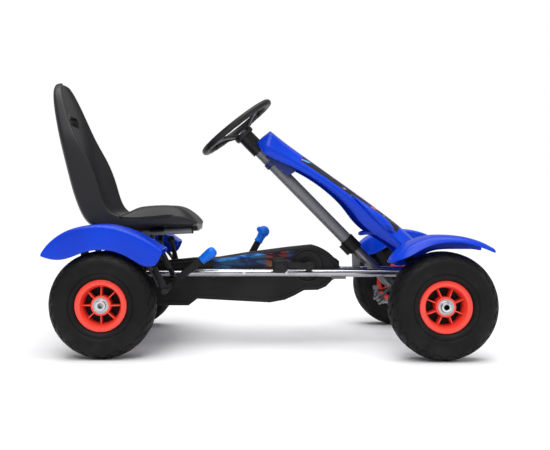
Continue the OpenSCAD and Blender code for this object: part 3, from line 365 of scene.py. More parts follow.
def rubber():
    return finish("rubber", colours().rubber, shades(colours().rubber, 0.6), drift=16.0,
                  rough=(0.50, 0.66), grain=(1100.0, 0.10), scratch=0.15, dust=0.05,
                  dust_top=0.16, shine=0.2)


def seat_black():
    return finish("seat_black", colours().seat, shades(colours().seat, 0.7), drift=7.0,
                  rough=(0.40, 0.50), grain=(820.0, 0.09), scratch=0.05, shine=0.35)


def cover_black():
    return finish("cover_black", (0.007, 0.007, 0.008), (0.004, 0.004, 0.005), drift=9.0,
                  rough=(0.42, 0.54), grain=(1000.0, 0.05), scratch=0.06, dust=0.02,
                  shine=0.25, pattern=cover_artwork)


def powder_black():
    return finish("powder_black", (0.009, 0.009, 0.010), (0.005, 0.005, 0.006), drift=20.0,
                  rough=(0.38, 0.52), grain=(1600.0, 0.06), scratch=0.06, shine=0.25)


def wheel_black():
    return finish("wheel_black", (0.010, 0.010, 0.011), (0.006, 0.006, 0.007), drift=24.0,
                  rough=(0.40, 0.5), grain=(700.0, 0.02), scratch=0.02, shine=0.3)


def pedal_black():
    return finish("pedal_black", (0.009, 0.009, 0.010), (0.005, 0.005, 0.006), drift=40.0,
                  rough=(0.5, 0.65), grain=(1500.0, 0.1), scratch=0.12, dust=0.03, shine=0.25)


def bright_steel():
    return finish("bright_steel", colours().steel, shades(colours().steel, 0.75), drift=12.0,
                  rough=(0.16, 0.28), grain=(300.0, 0.05), metallic=1.0, brushed=(0.6, 9.0, 9.0))


def column_steel():
    return finish("column_steel", colours().column, shades(colours().column, 0.7), drift=10.0,
                  rough=(0.34, 0.42), grain=(500.0, 0.01), scratch=0.02, shine=0.15)


def zinc():
    return finish("zinc", (0.55, 0.55, 0.56), (0.30, 0.30, 0.31), drift=120.0,
                  rough=(0.25, 0.42), grain=(1400.0, 0.1), metallic=1.0)


def bronze():
    return finish("bronze", (0.45, 0.26, 0.10), (0.30, 0.16, 0.06), drift=60.0,
                  rough=(0.3, 0.45), metallic=1.0)


def grey_steel():
    """Plain drawn steel, duller than the main tubes."""
    return finish("grey_steel", (0.20, 0.20, 0.205), (0.12, 0.12, 0.125), drift=10.0,
                  rough=(0.28, 0.4), grain=(300.0, 0.04), scratch=0.1, metallic=0.9,
                  brushed=(0.6, 9.0, 9.0))


def chain_steel():
    return finish("chain_steel", (0.16, 0.15, 0.14), (0.06, 0.055, 0.05), drift=150.0,
                  rough=(0.35, 0.55), metallic=1.0)


def cover_artwork(tree, where, plain):
    """An abstract sweep of blue with a flare of orange along the upper flank of the cover."""
    place = add(tree, "ShaderNodeSeparateXYZ", {"Vector": where})
    along, across, up = (place.outputs[axis] for axis in "XYZ")
    slope, band_height, rear_end, front_end, fade = 0.075, 0.044, 0.262, 0.028, 0.002
    rise = maths(tree, "MULTIPLY", maths(tree, "SUBTRACT", along, CRANK.x), slope)
    height = maths(tree, "SUBTRACT", maths(tree, "SUBTRACT", up, CRANK.z), rise)
    band = maths(tree, "MULTIPLY", ramp(tree, height, -fade, 0.0),
                 ramp(tree, height, band_height, band_height - fade))
    start = ramp(tree, along, CRANK.x - rear_end, CRANK.x - rear_end + 6 * fade)
    end = ramp(tree, along, CRANK.x - front_end, CRANK.x - front_end - 11 * fade)
    flank = ramp(tree, maths(tree, "ABSOLUTE", across), COVER_HALF - 0.0015, COVER_HALF - 0.0005)
    inside = maths(tree, "MULTIPLY", maths(tree, "MULTIPLY", band, start),
                   maths(tree, "MULTIPLY", end, flank))
    wind = add(tree, "ShaderNodeMapping", {"Vector": where, "Scale": (10.0, 1.0, 42.0)})
    streaks = add(tree, "ShaderNodeTexNoise", {"Vector": wind.outputs[0], "Scale": 1.4,
                  "Detail": 5.0, "Distortion": 0.8})
    sweep = tints(tree, streaks.outputs[0], (0.38, (0.004, 0.006, 0.02)),
                  (0.52, (0.004, 0.06, 0.32)), (0.68, (0.06, 0.42, 0.75)))
    flare = tints(tree, streaks.outputs[0], (0.40, (0.02, 0.01, 0.03)),
                  (0.48, (0.55, 0.05, 0.02)), (0.60, (0.95, 0.40, 0.06)))
    from_flare = maths(tree, "SUBTRACT", along, CRANK.x - 0.085)
    flare_at = ramp(tree, maths(tree, "ABSOLUTE", from_flare), 0.042, 0.012)
    return mix_colours(tree, inside, plain, mix_colours(tree, flare_at, sweep, flare))


def strip_black():
    """The dark strip on the fairing's shoulders, with small warm and cool streaks."""
    return finish("strip_black", (0.014, 0.014, 0.016), (0.008, 0.008, 0.009), drift=14.0,
                  rough=(0.42, 0.5), grain=(1000.0, 0.02), scratch=0.05, shine=0.25,
                  pattern=strip_artwork)


def strip_artwork(tree, where, plain):
    """Streaks along the strip, some orange and some blue."""
    wind = add(tree, "ShaderNodeMapping", {"Vector": where, "Rotation": (0, math.radians(-36), 0),
               "Scale": (16.0, 40.0, 90.0)})
    streaks = add(tree, "ShaderNodeTexNoise", {"Vector": wind.outputs[0], "Scale": 0.9,
                  "Detail": 3.0})
    mask = ramp(tree, streaks.outputs[0], 0.60, 0.66)
    patches = add(tree, "ShaderNodeTexNoise", {"Vector": where, "Scale": 14.0})
    tint = mix_colours(tree, ramp(tree, patches.outputs[0], 0.45, 0.55), (0.75, 0.13, 0.03, 1),
                       (0.10, 0.30, 0.60, 1))
    return mix_colours(tree, mask, plain, tint)


# ------------------------------------------------------------------ mesh helpers

def add_piece(name, source, body, finishes, stands_for=(), sharp=32.0, subdivide=0,
              wall=0.0):
    """Makes an object of a finished bmesh, with its materials, modifiers and body."""
    mesh = bpy.data.meshes.new(name)
    source.to_mesh(mesh)
    source.free()
    for polygon in mesh.polygons:
        polygon.use_smooth = True
    if sharp:
        mesh.set_sharp_from_angle(angle=math.radians(sharp))
    for material in finishes:
        mesh.materials.append(material)
    piece = bpy.data.objects.new(name, mesh)
    bpy.context.scene.collection.objects.link(piece)
    if wall:
        solid = piece.modifiers.new("Wall", "SOLIDIFY")
        solid.thickness, solid.offset, solid.use_even_offset = wall, -1.0, True
    if subdivide:
        rounder = piece.modifiers.new("Rounding", "SUBSURF")
        rounder.levels = rounder.render_levels = subdivide
    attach(piece, body)
    if stands_for:
        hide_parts(*stands_for)
    return piece


def line(mesh, points, closed=False):
    """A chain of edges through the points."""
    verts = [mesh.verts.new(p) for p in points]
    edges = [mesh.edges.new(pair) for pair in zip(verts, verts[1:])]
    if closed:
        edges.append(mesh.edges.new((verts[-1], verts[0])))
    return edges


def bridged(sections, solid=False):
    """A skin through open sections, or a solid through closed ones, each of as many points."""
    mesh = bmesh.new()
    lines = [line(mesh, section, solid) for section in sections]
    for near, far in zip(lines, lines[1:]):
        bmesh.ops.bridge_loops(mesh, edges=near + far)
    if solid:
        for end in (lines[0], lines[-1]):
            bmesh.ops.contextual_create(mesh, geom=end)
    bmesh.ops.recalc_face_normals(mesh, faces=mesh.faces)
    return mesh


def spun(mesh, profile, steps, closed=False, material=0):
    """Turns a profile of (radius, height) round Z."""
    edges = line(mesh, [(r, 0.0, h) for r, h in profile], closed)
    verts = list({v for e in edges for v in e.verts})
    before = set(mesh.faces)
    bmesh.ops.spin(mesh, geom=verts + edges, cent=(0, 0, 0), axis=(0, 0, 1), dvec=(0, 0, 0),
                   angle=math.tau, steps=steps, use_merge=True, use_duplicate=False)
    made = [f for f in mesh.faces if f not in before]
    for face in made:
        face.material_index = material
    bmesh.ops.recalc_face_normals(mesh, faces=made)


def box(mesh, low, high):
    """A cuboid between two corners."""
    low, high = Vector(low), Vector(high)
    made = bmesh.ops.create_cube(mesh, size=1.0)["verts"]
    bmesh.ops.scale(mesh, vec=high - low, verts=made)
    bmesh.ops.translate(mesh, vec=(low + high) / 2, verts=made)
    return made


def edges_of(verts):
    """Every edge that ends at one of the points."""
    return list({edge for vert in verts for edge in vert.link_edges})


def bevel(mesh, edges, size, segments):
    """Rounds edges, and returns the new faces."""
    return bmesh.ops.bevel(mesh, geom=edges, offset=size, offset_type="OFFSET", segments=segments,
                           profile=0.5, affect="EDGES", material=-1)["faces"]


def thickened(mesh, edges, move):
    """Fills a closed outline and draws it out into a solid."""
    bmesh.ops.contextual_create(mesh, geom=edges)
    made = bmesh.ops.extrude_face_region(mesh, geom=mesh.faces[:])["geom"]
    bmesh.ops.translate(mesh, vec=move, verts=[g for g in made if isinstance(g, bmesh.types.BMVert)])
    bmesh.ops.recalc_face_normals(mesh, faces=mesh.faces)


def outward(x, y, z, side):
    """Places a shape drawn about +Z so that its +Z points away from the kart along Y."""
    return Matrix.Translation((x, side * y, z)) @ Matrix.Rotation(
        math.radians(-90 * side), 4, "X")


def crease_border(mesh):
    """Keeps the open edges of a sheet sharp when it is rounded."""
    layer = mesh.edges.layers.float.new("crease_edge")
    for edge in mesh.edges:
        if edge.is_boundary:
            edge[layer] = 1.0


def face_up(mesh):
    """Turns an open sheet's faces so that its highest one looks up."""
    highest = max(mesh.faces, key=lambda face: face.calc_center_median().z)
    if highest.normal.z < 0:
        bmesh.ops.reverse_faces(mesh, faces=mesh.faces)


def close_poles(mesh):
    """Merges the ends of a spun shape on its axis and points its faces outwards."""
    bmesh.ops.remove_doubles(mesh, verts=mesh.verts, dist=1e-5)
    bmesh.ops.recalc_face_normals(mesh, faces=mesh.faces)


def take_in(mesh, other):
    """Adds another bmesh's shape to a mesh and frees the other one."""
    held = bpy.data.meshes.new("held")
    other.to_mesh(held)
    other.free()
    mesh.from_mesh(held)
    bpy.data.meshes.remove(held)


def cut_from(piece, cutter):
    """Cuts a closed bmesh out of a piece, and settles the piece's modifiers."""
    mesh = bpy.data.meshes.new("cutter")
    cutter.to_mesh(mesh)
    cutter.free()
    tool = bpy.data.objects.new("cutter", mesh)
    bpy.context.scene.collection.objects.link(tool)
    cut = piece.modifiers.new("Cut", "BOOLEAN")
    cut.operation, cut.object, cut.solver = "DIFFERENCE", tool, "EXACT"
    bpy.context.view_layer.update()
    result = bpy.data.meshes.new_from_object(
        piece.evaluated_get(bpy.context.evaluated_depsgraph_get()))
    piece.modifiers.clear()
    old = piece.data
    piece.data = result
    bpy.data.meshes.remove(old)
    bpy.data.objects.remove(tool)
    result.set_sharp_from_angle(angle=math.radians(38))


# Each wheel's name, side, body, axle, distance across, and how many ribs its rim is turned by
WHEELS = (
    ("rear_right", RIGHT, "wheel_rear_right", REAR_AXLE, REAR_Y, 0.0),
    ("rear_left", LEFT, "rear_axle", REAR_AXLE, REAR_Y, 0.0),
    ("front_right", RIGHT, "wheel_front_right", FRONT_AXLE, FRONT_Y, 0.5),
    ("front_left", LEFT, "wheel_front_left", FRONT_AXLE, FRONT_Y, 0.5),
)


# ------------------------------------------------------------------ tyres, rims and hubs

def tyre_mesh(sizes):
    """A tyre about Z: a spun profile, with every fourth-sector pattern of faces raised as blocks."""
    half, top = sizes.width / 2, sizes.radius - sizes.block_depth
    tread_from, groove = 0.112, 0.0016
    outer = [
        (0.0535, half - 0.0150), (0.0626, half - 0.0148), (0.0634, half - 0.0115),
        (0.0655, half - 0.0075), (0.0690, half - 0.0040), (0.0725, half - 0.0026),
        (0.0755, half - 0.0034), (0.0772, half - 0.0050), (0.0795, half - 0.0034),
        (0.0850, half - 0.0012), (0.0930, half - 0.0001), (0.1010, half - 0.0001),
        (0.1065, half - 0.0012), (0.1105, half - 0.0026), (0.1150, half - 0.0054),
        (0.1190, half - 0.0092), (0.1222, half - 0.0135), (0.1248, half - 0.0185),
        (0.1262, half - 0.0240), (top - 0.0002, half - 0.0300), (top, half - 0.0365),
        (top, groove)]
    profile = outer + [(r, -h) for r, h in reversed(outer)]
    mesh = bmesh.new()
    spun(mesh, profile, sizes.sectors)
    step = math.tau / sizes.sectors
    # Which sectors of every four are raised, by the place of the face along the profile
    columns = {14: (0, 1), 15: (0, 1, 2), 16: (0, 1, 2), 17: (2, 3), 18: (0, 2, 3), 19: (0, 1, 3),
               20: (1, 2, 3)}
    heights = [(outer[k][1] + outer[k + 1][1]) / 2 for k in range(len(outer) - 1)]
    blocks = []
    for face in mesh.faces:
        middle = face.calc_center_median()
        if math.hypot(middle.x, middle.y) < tread_from:
            continue
        sector = int(math.floor((math.atan2(middle.y, middle.x) % math.tau) / step))
        side = abs(middle.z)
        column = min(range(len(heights)), key=lambda k: abs(heights[k] - side) + (
            0 if heights[k] < half - 0.002 else 1))
        shift = 2 if middle.z < 0 else 0
        if side > groove and (sector + shift) % 4 in columns.get(column, ()):
            blocks.append(face)
    bmesh.ops.inset_region(mesh, faces=blocks, thickness=0.0005, depth=0.0,
                           use_even_offset=True)
    tops = {vert for face in blocks for vert in face.verts}
    for vert in tops:
        flat = Vector((vert.co.x, vert.co.y, 0)).normalized()
        lean = 1.0 if abs(vert.co.z) < half - 0.02 else 0.55
        push = flat * lean + Vector((0, 0, math.copysign(math.sqrt(1 - lean * lean), vert.co.z)))
        room = min(1.0, max(0.0, (half - abs(vert.co.z)) / 0.004))
        vert.co += push * sizes.block_depth * (0.25 + 0.75 * room)
        reach = math.hypot(vert.co.x, vert.co.y)
        if reach > sizes.radius:
            vert.co.x, vert.co.y = (vert.co.x * sizes.radius / reach,
                                    vert.co.y * sizes.radius / reach)
        vert.co.z = max(-half, min(half, vert.co.z))
    return mesh


class KART_OT_tyres(bpy.types.Operator):
    """Four tyres with rows of tread blocks and a ring on each sidewall"""
    bl_idname = "kart.tyres"
    bl_label = "Tyres"

    def execute(self, context):
        for name, side, body, axle, y, _ in WHEELS:
            mesh = tyre_mesh(context.scene.kart_tyres)
            mesh.transform(outward(axle.x, y, axle.z, side))
            add_piece(f"tyre_tread_{name}", mesh, body, [rubber()],
                      [f"tyre_{name}"], sharp=38)
        return {"FINISHED"}


def rim_mesh(sizes, turn):
    """A rim about Z: flange and cone, hub sleeve, ribs, and a closing web whose near-black finish is
    painted shade between the ribs.
    """
    half, radius, sleeve = sizes.width / 2, sizes.radius, sizes.hub_radius
    mesh = bmesh.new()
    face = [(0.0490, half - 0.0030), (0.0500, half - 0.0008), (0.0520, half - 0.0001),
            (radius - 0.0030, half), (radius - 0.0008, half - 0.0008), (radius, half - 0.0024),
            (radius, half - 0.0040), (0.0526, half - 0.0050)]
    cone = [(0.0430, 0.0), (0.0436, 0.0100), (0.0450, 0.0180), (0.0468, 0.0250)]
    ring = face + [(r, -h) for r, h in reversed(face)] + [(r, -h) for r, h in reversed(cone)] \
        + cone[1:]
    spun(mesh, ring, 96, closed=True)
    tube = [(0.0191, 0.0300), (sleeve - 0.0010, 0.0300), (sleeve, 0.0290), (sleeve + 0.0006, 0.0),
            (sleeve, -0.0290), (sleeve - 0.0010, -0.0300), (0.0191, -0.0300)]
    spun(mesh, tube, 64, closed=True)
    # The web takes the second, near-black finish: painted shade in the windows between the ribs.
    web = [(sleeve + 0.0002, 0.0015), (0.0434, 0.0015), (0.0434, -0.0015),
           (sleeve + 0.0002, -0.0015)]
    spun(mesh, web, 64, closed=True, material=1)
    for rib in range(sizes.ribs):
        plate = box(mesh, (sleeve - 0.0012, -sizes.rib_thickness / 2, -0.024),
                    (0.0475, sizes.rib_thickness / 2, 0.024))
        for vert in plate:
            outer = vert.co.x > 0.03
            vert.co.z = math.copysign(0.0225 if outer else 0.0270, vert.co.z)
            if outer and abs(vert.co.z) < 0.02:
                vert.co.x -= 0.002
        rounded = bevel(mesh, edges_of(plate), 0.0005, 2)
        shape = list({v for v in plate if v.is_valid} | {v for f in rounded for v in f.verts})
        linked = set(shape)
        for vert in shape:
            linked.update(w for e in vert.link_edges for w in e.verts)
        bmesh.ops.rotate(mesh, verts=list(linked), cent=(0, 0, 0), matrix=Matrix.Rotation(
            (rib + turn) * math.tau / sizes.ribs, 3, "Z"))
    return mesh


class KART_OT_rims(bpy.types.Operator):
    """Four moulded rims with a flat flange, a cone, deep ribs and a hub sleeve"""
    bl_idname = "kart.rims"
    bl_label = "Rims"

    def execute(self, context):
        for name, side, body, axle, y, turn in WHEELS:
            mesh = rim_mesh(context.scene.kart_rims, turn)
            mesh.transform(outward(axle.x, y, axle.z, side))
            # The second finish is painted shade on the web between the ribs.
            add_piece(f"rim_moulding_{name}", mesh, body, [rim_red(), painted_shade_web_and_seal_black()],
                      [f"rim_{name}"], sharp=34)
        return {"FINISHED"}


def hub_mesh():
    """A wheel's two bearings about Z, each a dished cover, an inner race and a seal."""
    mesh = bmesh.new()
    cover = [(0.0126, 0.0270), (0.0126, 0.0300), (0.0132, 0.0304), (0.0140, 0.0300),
             (0.0150, 0.0286), (0.0164, 0.0284), (0.0174, 0.0296), (0.0182, 0.0306),
             (0.0188, 0.0306), (0.0190, 0.0300), (0.0190, 0.0200), (0.0126, 0.0200)]
    race = [(0.0082, 0.0180), (0.0082, 0.0296), (0.0088, 0.0300), (0.0108, 0.0300),
            (0.0112, 0.0296), (0.0112, 0.0180)]
    seal = [(0.0110, 0.0200), (0.0110, 0.0288), (0.0127, 0.0288), (0.0127, 0.0200)]
    for profile, steps, material in ((cover, 56, 0), (race, 48, 0), (seal, 48, 1)):
        for end in (1, -1):
            spun(mesh, [(r, end * h) for r, h in profile], steps, closed=True, material=material)
    return mesh


def nut_mesh():
    """The bright collar nut on the end of a front spindle, with its hollow centre."""
    mesh = bmesh.new()
    profile = [(0.0066, 0.0312), (0.0066, 0.0356), (0.0072, 0.0362), (0.0108, 0.0362),
               (0.0116, 0.0356), (0.0122, 0.0348), (0.0122, 0.0312)]
    spun(mesh, profile, 48, closed=True)
    return mesh


class KART_OT_hubs(bpy.types.Operator):
    """The wheel bearings, each with a dished cover, a seal and an inner race, and the front nuts"""
    bl_idname = "kart.hubs"
    bl_label = "Hubs"

    def execute(self, context):
        for name, side, body, axle, y, _ in WHEELS:
            mesh = hub_mesh()
            mesh.transform(outward(axle.x, y, axle.z, side))
            add_piece(f"hub_cover_{name}", mesh, body, [zinc(), painted_shade_web_and_seal_black()],
                      [f"hub_{name}"], sharp=40)
            if axle is FRONT_AXLE:
                nut = nut_mesh()
                nut.transform(outward(axle.x, y, axle.z, side))
                add_piece(f"spindle_nut_{name}", nut, name.replace("front", "knuckle"),
                          [zinc()], sharp=40)
        return {"FINISHED"}


# ------------------------------------------------------------------ fairing

def fairing_stations():
    """Sections of the fairing along its top line, counted from the front axle in millimetres:
    (x, z, slope, depth, shoulder, crease, crease depth, lower half)"""
    half = 52
    return [
        (-362, 415, 35.5, 60, half - 8, half + 2, 33, half - 3),
        (-310, 378, 35.5, 46, half - 8, half + 4, 29, half + 1),
        (-258, 341, 35.5, 39, half - 6, half + 7, 25, half + 4),
        (-206, 304, 35.5, 41, half - 3, half + 12, 24, half + 8),
        (-162, 272.5, 36, 50, half, half + 20, 27, half + 13),
        (-130, 249, 37, 65, half + 3, half + 28, 32, half + 17),
        (-90, 219, 38, 69, half + 6, half + 34, 38, half + 22),
        (-50, 188, 40, 62, half + 8, half + 38, 40, half + 28),
        (-12, 155, 44, 57, half + 8, half + 40, 42, half + 32),
        (22, 120, 55, 56, half + 4, half + 36, 40, half + 28),
        (42, 88, 72, 48, half - 4, half + 24, 30, half + 18)]


def mirrored(half_section):
    """A whole section from its right half, which starts on the middle line."""
    return [Vector((p.x, -p.y, p.z)) for p in reversed(half_section[1:])] + list(half_section)


def fairing_section(x, z, slope, depth, shoulder, wide, wide_depth, lower):
    """One section: a crowned top, a ridge at the shoulder, a fold at the widest place, an edge."""
    sine, cosine = math.sin(math.radians(slope)), math.cos(math.radians(slope))

    def point(y, down):
        return FRONT_AXLE + MM * Vector((x - down * sine, y, z - down * cosine))

    return mirrored([
        point(0, 0), point(shoulder * 0.45, 3.2), point(shoulder - 5, 10.5), point(shoulder, 13.5),
        point(shoulder * 0.6 + wide * 0.4, 13 + (wide_depth - 13) * 0.45),
        point(wide, wide_depth), point(wide * 0.55 + lower * 0.45 + 2, (wide_depth + depth) / 2),
        point(lower, depth - 3), point(lower - 3, depth)])


def rear_section(points):
    """A section near the steering wheel, of (y, x, z) from the front axle in millimetres."""
    return mirrored([FRONT_AXLE + MM * Vector((x, y, z)) for y, x, z in points])


# Places along a half section, counted from the middle line
RIDGE, FOLD = 3, 5
# Sections between which the dark strip lies on the shoulders
STRIP = (3, 9)


def fairing_mesh():
    """The fairing's skin, with its ridges and folds creased and its dark strip set apart."""
    mouth = rear_section([(0, -406, 444), (12, -408, 442), (21, -416, 435), (25, -426, 427),
                          (27, -434, 419), (28, -440, 413), (29, -440, 407), (30, -435, 400),
                          (29, -432, 397)])
    corner = rear_section([(0, -403, 448), (18, -403, 446), (37, -404, 441), (43, -406, 435),
                           (48, -410, 420), (52.5, -415, 404), (53, -418, 392), (52, -421, 383),
                           (49, -422, 378)])
    sections = [mouth, corner] + [fairing_section(*s) for s in fairing_stations()]
    mesh = bridged(sections)
    mesh.verts.index_update()
    across, last = len(mouth), len(sections) - 1

    def places(part):
        """Which section and which place along its half each vertex has."""
        found = [divmod(vert.index, across) for vert in part.verts]
        return [row for row, _ in found], [abs(column - across // 2) for _, column in found]

    layer = mesh.edges.layers.float.new("crease_edge")
    for edge in mesh.edges:
        rows, columns = places(edge)
        if columns[0] == columns[1] and columns[0] in (RIDGE, FOLD):
            edge[layer] = 0.7
        if rows[0] == rows[1] and rows[0] in (0, last):
            edge[layer] = 1.0
        elif rows[0] == rows[1] == 1:
            edge[layer] = 0.8
    for face in mesh.faces:
        rows, columns = places(face)
        if min(columns) > 0 and max(columns) <= RIDGE + 1 and min(rows) >= STRIP[0] \
                and max(rows) <= STRIP[1]:
            face.material_index = 1
    face_up(mesh)
    return mesh


def teardrop_mesh(side):
    """A long drop that swells from the flank of the fairing, its round end forwards and down."""
    tip = FRONT_AXLE + MM * Vector((-186, side * 62, 270))
    end = FRONT_AXLE + MM * Vector((-78, side * 84, 170))
    run = end - tip
    mesh = bmesh.new()
    outline = [(0.0, 0.0), (0.015, 0.05), (0.045, 0.16), (0.085, 0.30), (0.125, 0.44), (0.155, 0.58),
               (0.168, 0.70), (0.160, 0.81), (0.130, 0.90), (0.078, 0.97), (0.0, 1.0)]
    spun(mesh, outline, 36)
    close_poles(mesh)
    bmesh.ops.scale(mesh, vec=(run.length * 0.80, run.length * 0.52, run.length), verts=mesh.verts)
    turn = run.to_track_quat("Z", "Y").to_matrix().to_4x4()
    mesh.transform(Matrix.Translation(tip) @ turn)
    return mesh


def tongue_mesh():
    """The rounded tongue under the fairing, between the flanks, that takes its fixing screw."""
    rear, front, half = -0.158, -0.080, 0.030
    mesh = bmesh.new()
    box(mesh, (rear, -half, 0.1560), (front, half, 0.1680))
    bmesh.ops.subdivide_edges(mesh, edges=mesh.edges[:], cuts=3, use_grid_fill=True)
    for vert in mesh.verts:
        reach = (vert.co.x - rear) / (front - rear)
        vert.co.z += 0.010 * math.sin(math.pi * min(1.0, reach * 1.4)) * 0.6
        vert.co.y *= 1.0 - 0.45 * (1.0 - min(1.0, reach * 2.2)) ** 2
    bmesh.ops.smooth_vert(mesh, verts=mesh.verts[:], factor=0.5, use_axis_x=True, use_axis_y=True,
                          use_axis_z=True)
    mesh.transform(Matrix.Translation(FRONT_AXLE))
    return mesh


class KART_OT_fairing(bpy.types.Operator):
    """The front fairing with its folded rear end, creased flanks, drops and tongue"""
    bl_idname = "kart.fairing"
    bl_label = "Fairing"

    def execute(self, context):
        body = context.scene.kart_bodywork
        add_piece("fairing_shell", fairing_mesh(), "frame",
                  [body_blue(), strip_black()], ["nose_fairing"], sharp=0,
                  subdivide=body.smoothing, wall=body.skin)
        for side, word in SIDES:
            add_piece(f"fairing_drop_{word}", teardrop_mesh(side), "frame",
                      [body_blue()], sharp=0)
        add_piece("fairing_tongue", tongue_mesh(), "frame", [body_blue()], sharp=0,
                  subdivide=2)
        return {"FINISHED"}


# ------------------------------------------------------------------ fenders

# Places along the rear fender, from the axle in millimetres: (x, top, lower edge)
REAR_FENDER = (
    (-142, 128, 119), (-130, 147, 114), (-102, 171, 108), (-72, 185, 104), (-40, 192, 104),
    (-8, 195, 104), (22, 193, 104), (49, 186, 104), (79, 175, 96), (100, 164, 94.5),
    (116, 155, 94.5), (129, 147, 94.5), (139, 140, 106), (147, 135, 126))
# The same for the front fender: (x, top, outer lip, inner lower edge)
FRONT_FENDER = (
    (-131, 110, 107, 102), (-116, 124, 107, 90), (-90, 146, 119, 86), (-60, 160, 138, 100),
    (-33, 168, 149, 118), (-7, 170, 153, 130), (24, 169, 155, 132), (51, 166, 151, 132),
    (79, 158, 143, 132), (95, 151, 137, 132), (113, 141, 129, 127))
# How much of its section is left at the rear tip of the front fender, and next to it
TIP_SHARE = (0.25, 0.72)


def rear_fender_mesh(side):
    """A rear fender, whose skirts keep clear of the tyre."""
    outside, width, clear, highest = REAR_Y / MM + 38, 118, 135, 195
    sections = []
    for x, top, low in REAR_FENDER:
        skirt = max(low, math.sqrt(clear * clear - x * x)) if abs(x) < clear * 0.8 else low
        skirt = min(skirt, top - 9)
        lip = min(max(skirt, top - 26), top - 9)
        inner = outside - width
        row = [(outside, skirt), (outside, (skirt + top - 8) / 2), (outside, top - 9),
               (outside - 1.5, top - 4), (outside - 6, top - 1.2), (outside - 16, top),
               (outside - width / 2, top + 0.5), (inner + 14, top), (inner + 4, top - 2),
               (inner, top - 6), (inner, (top - 6 + lip) / 2), (inner, lip)]
        sections.append([REAR_AXLE + MM * Vector((x, side * y, min(z, highest))) for y, z in row])
    mesh = bridged(sections)
    face_up(mesh)
    crease_border(mesh)
    return mesh


def front_fender_mesh(side):
    """A front fender: a crescent with a point at its rear end."""
    outside, width = FRONT_Y / MM + 42.5, 104
    inner = outside - width
    sections = []
    for index, (x, top, lip, low) in enumerate(FRONT_FENDER):
        lip, low = min(lip, top - 8), min(low, top - 8)
        share = TIP_SHARE[index] if index < len(TIP_SHARE) else 1.0
        row = [(outside, lip), (outside - 1, lip + 2), (outside - 5, lip + (top - lip) * 0.55),
               (outside - 12, top - 3.4), (outside - 22, top - 1), (outside - width / 2, top),
               (inner + 14, top - 0.6), (inner + 4, top - 2.5), (inner, top - 7),
               (inner, (top + low) / 2), (inner, low)]
        tip_y, tip_z = outside - 0.35 * width, top - 5
        sections.append([FRONT_AXLE + MM * Vector((x, side * (tip_y + (y - tip_y) * share),
                         tip_z + (z - tip_z) * share)) for y, z in row])
    mesh = bridged(sections)
    face_up(mesh)
    crease_border(mesh)
    return mesh


class KART_OT_fenders(bpy.types.Operator):
    """Four fenders: deep ones behind, and crescents that turn with the front wheels"""
    bl_idname = "kart.fenders"
    bl_label = "Fenders"

    def execute(self, context):
        body = context.scene.kart_bodywork
        for side, word in SIDES:
            add_piece(f"rear_mudguard_{word}", rear_fender_mesh(side), "frame",
                      [body_blue()], [f"rear_fender_{word}"], sharp=0,
                      subdivide=body.smoothing, wall=body.skin)
            add_piece(f"front_mudguard_{word}", front_fender_mesh(side), f"knuckle_{word}",
                      [body_blue()], [f"front_fender_{word}"], sharp=0,
                      subdivide=body.smoothing, wall=body.skin)
        return {"FINISHED"}


# ------------------------------------------------------------------ seat

# Sections of the seat from the front of its pan to the top of its back, in millimetres:
# (x, z, slope in degrees, how much narrower, height of the wings, thickness in the middle,
# half width of the hollow underneath, its depth)
SEAT = (
    (226, 303, 90, 16, 22, 20, 92, 16), (214, 302, 90, 8, 30, 37, 94, 16),
    (192, 302, 90, 3, 40, 55, 95, 16), (166, 302, 90, 0, 45, 69, 95, 15),
    (125, 302, 90, 0, 42, 70, 95, 14), (84, 302, 84, 0, 38, 68, 95, 12),
    (48, 302, 68, 0, 38, 71, 95, 10), (12, 302, 52, 0, 46, 79, 96, 8),
    (-22, 303, 42, 0, 60, 62, 98, 7), (-48, 308, 36, 0, 70, 46, 104, 8),
    (-68, 322, 28, 0, 73, 38, 110, 8), (-83, 344, 22, 0, 72, 32, 116, 8),
    (-96, 378, 17, 0, 72, 28, 120, 8), (-108, 416, 15, 0, 74, 26, 122, 8),
    (-120, 464, 12, 0, 70, 25, 122, 8), (-131, 508, 10, 1, 60, 25, 122, 8),
    (-141, 548, 9, 4, 48, 25, 120, 8), (-152, 592, 8, 16, 41, 25, 108, 8),
    (-162, 634, 8, 30, 35, 24, 94, 8), (-170, 672, 8, 54, 29, 22, 70, 7),
    (-173, 692, 8, 84, 25, 19, 44, 5), (-171, 704, 8, 116, 19, 15, 20, 4))


def seat_mesh():
    """The seat's shell, rounded by its subdivision."""
    half_width, wall = 150, 9
    axle_x = REAR_AXLE.x / MM
    sections = []
    for x, z, turn, narrow, wing, middle, step_at, step in SEAT:
        wide = half_width - narrow
        inner = min(wide - wall, wide * 0.8)
        pan = inner - min(10, wide * 0.15)
        across, up = math.cos(math.radians(turn)), math.sin(math.radians(turn))
        half = [(0, 0), (step_at * 0.6, 0), (step_at, 0), (step_at + 2, step * 0.9),
                (wide - 5, step + 1.5), (wide, step + 6), (wide, (step + wing) / 2),
                (wide, wing - 3), (wide - 1.5, wing), (wide - wall + 1.5, wing),
                (wide - wall, wing - 3),
                ((wide - wall + pan) / 2 + 1, (wing + middle) / 2 - (wing - middle) * 0.1),
                (pan, middle + 0.5), (pan * 0.75, middle - 0.5), (pan * 0.4, middle * 0.96),
                (0, middle * 0.94)]
        loop = [(-y, d) for y, d in half] + half[-2:0:-1]
        sections.append([MM * Vector((axle_x + x + d * across, y, z + d * up)) for y, d in loop])
    return bridged(sections, solid=True)


def hand_slot():
    """The slot through the back, a little below its top."""
    mesh = bmesh.new()
    box(mesh, (-0.190, -0.062, 0.0), (-0.070, 0.062, 0.030))
    edges = [e for e in mesh.edges if abs(e.verts[0].co.x - e.verts[1].co.x) > 0.05]
    bevel(mesh, edges, 0.010, 4)
    mesh.transform(Matrix.Translation((REAR_AXLE.x, 0, 0.606))
                   @ Matrix.Rotation(math.radians(-8), 4, "Y"))
    return mesh


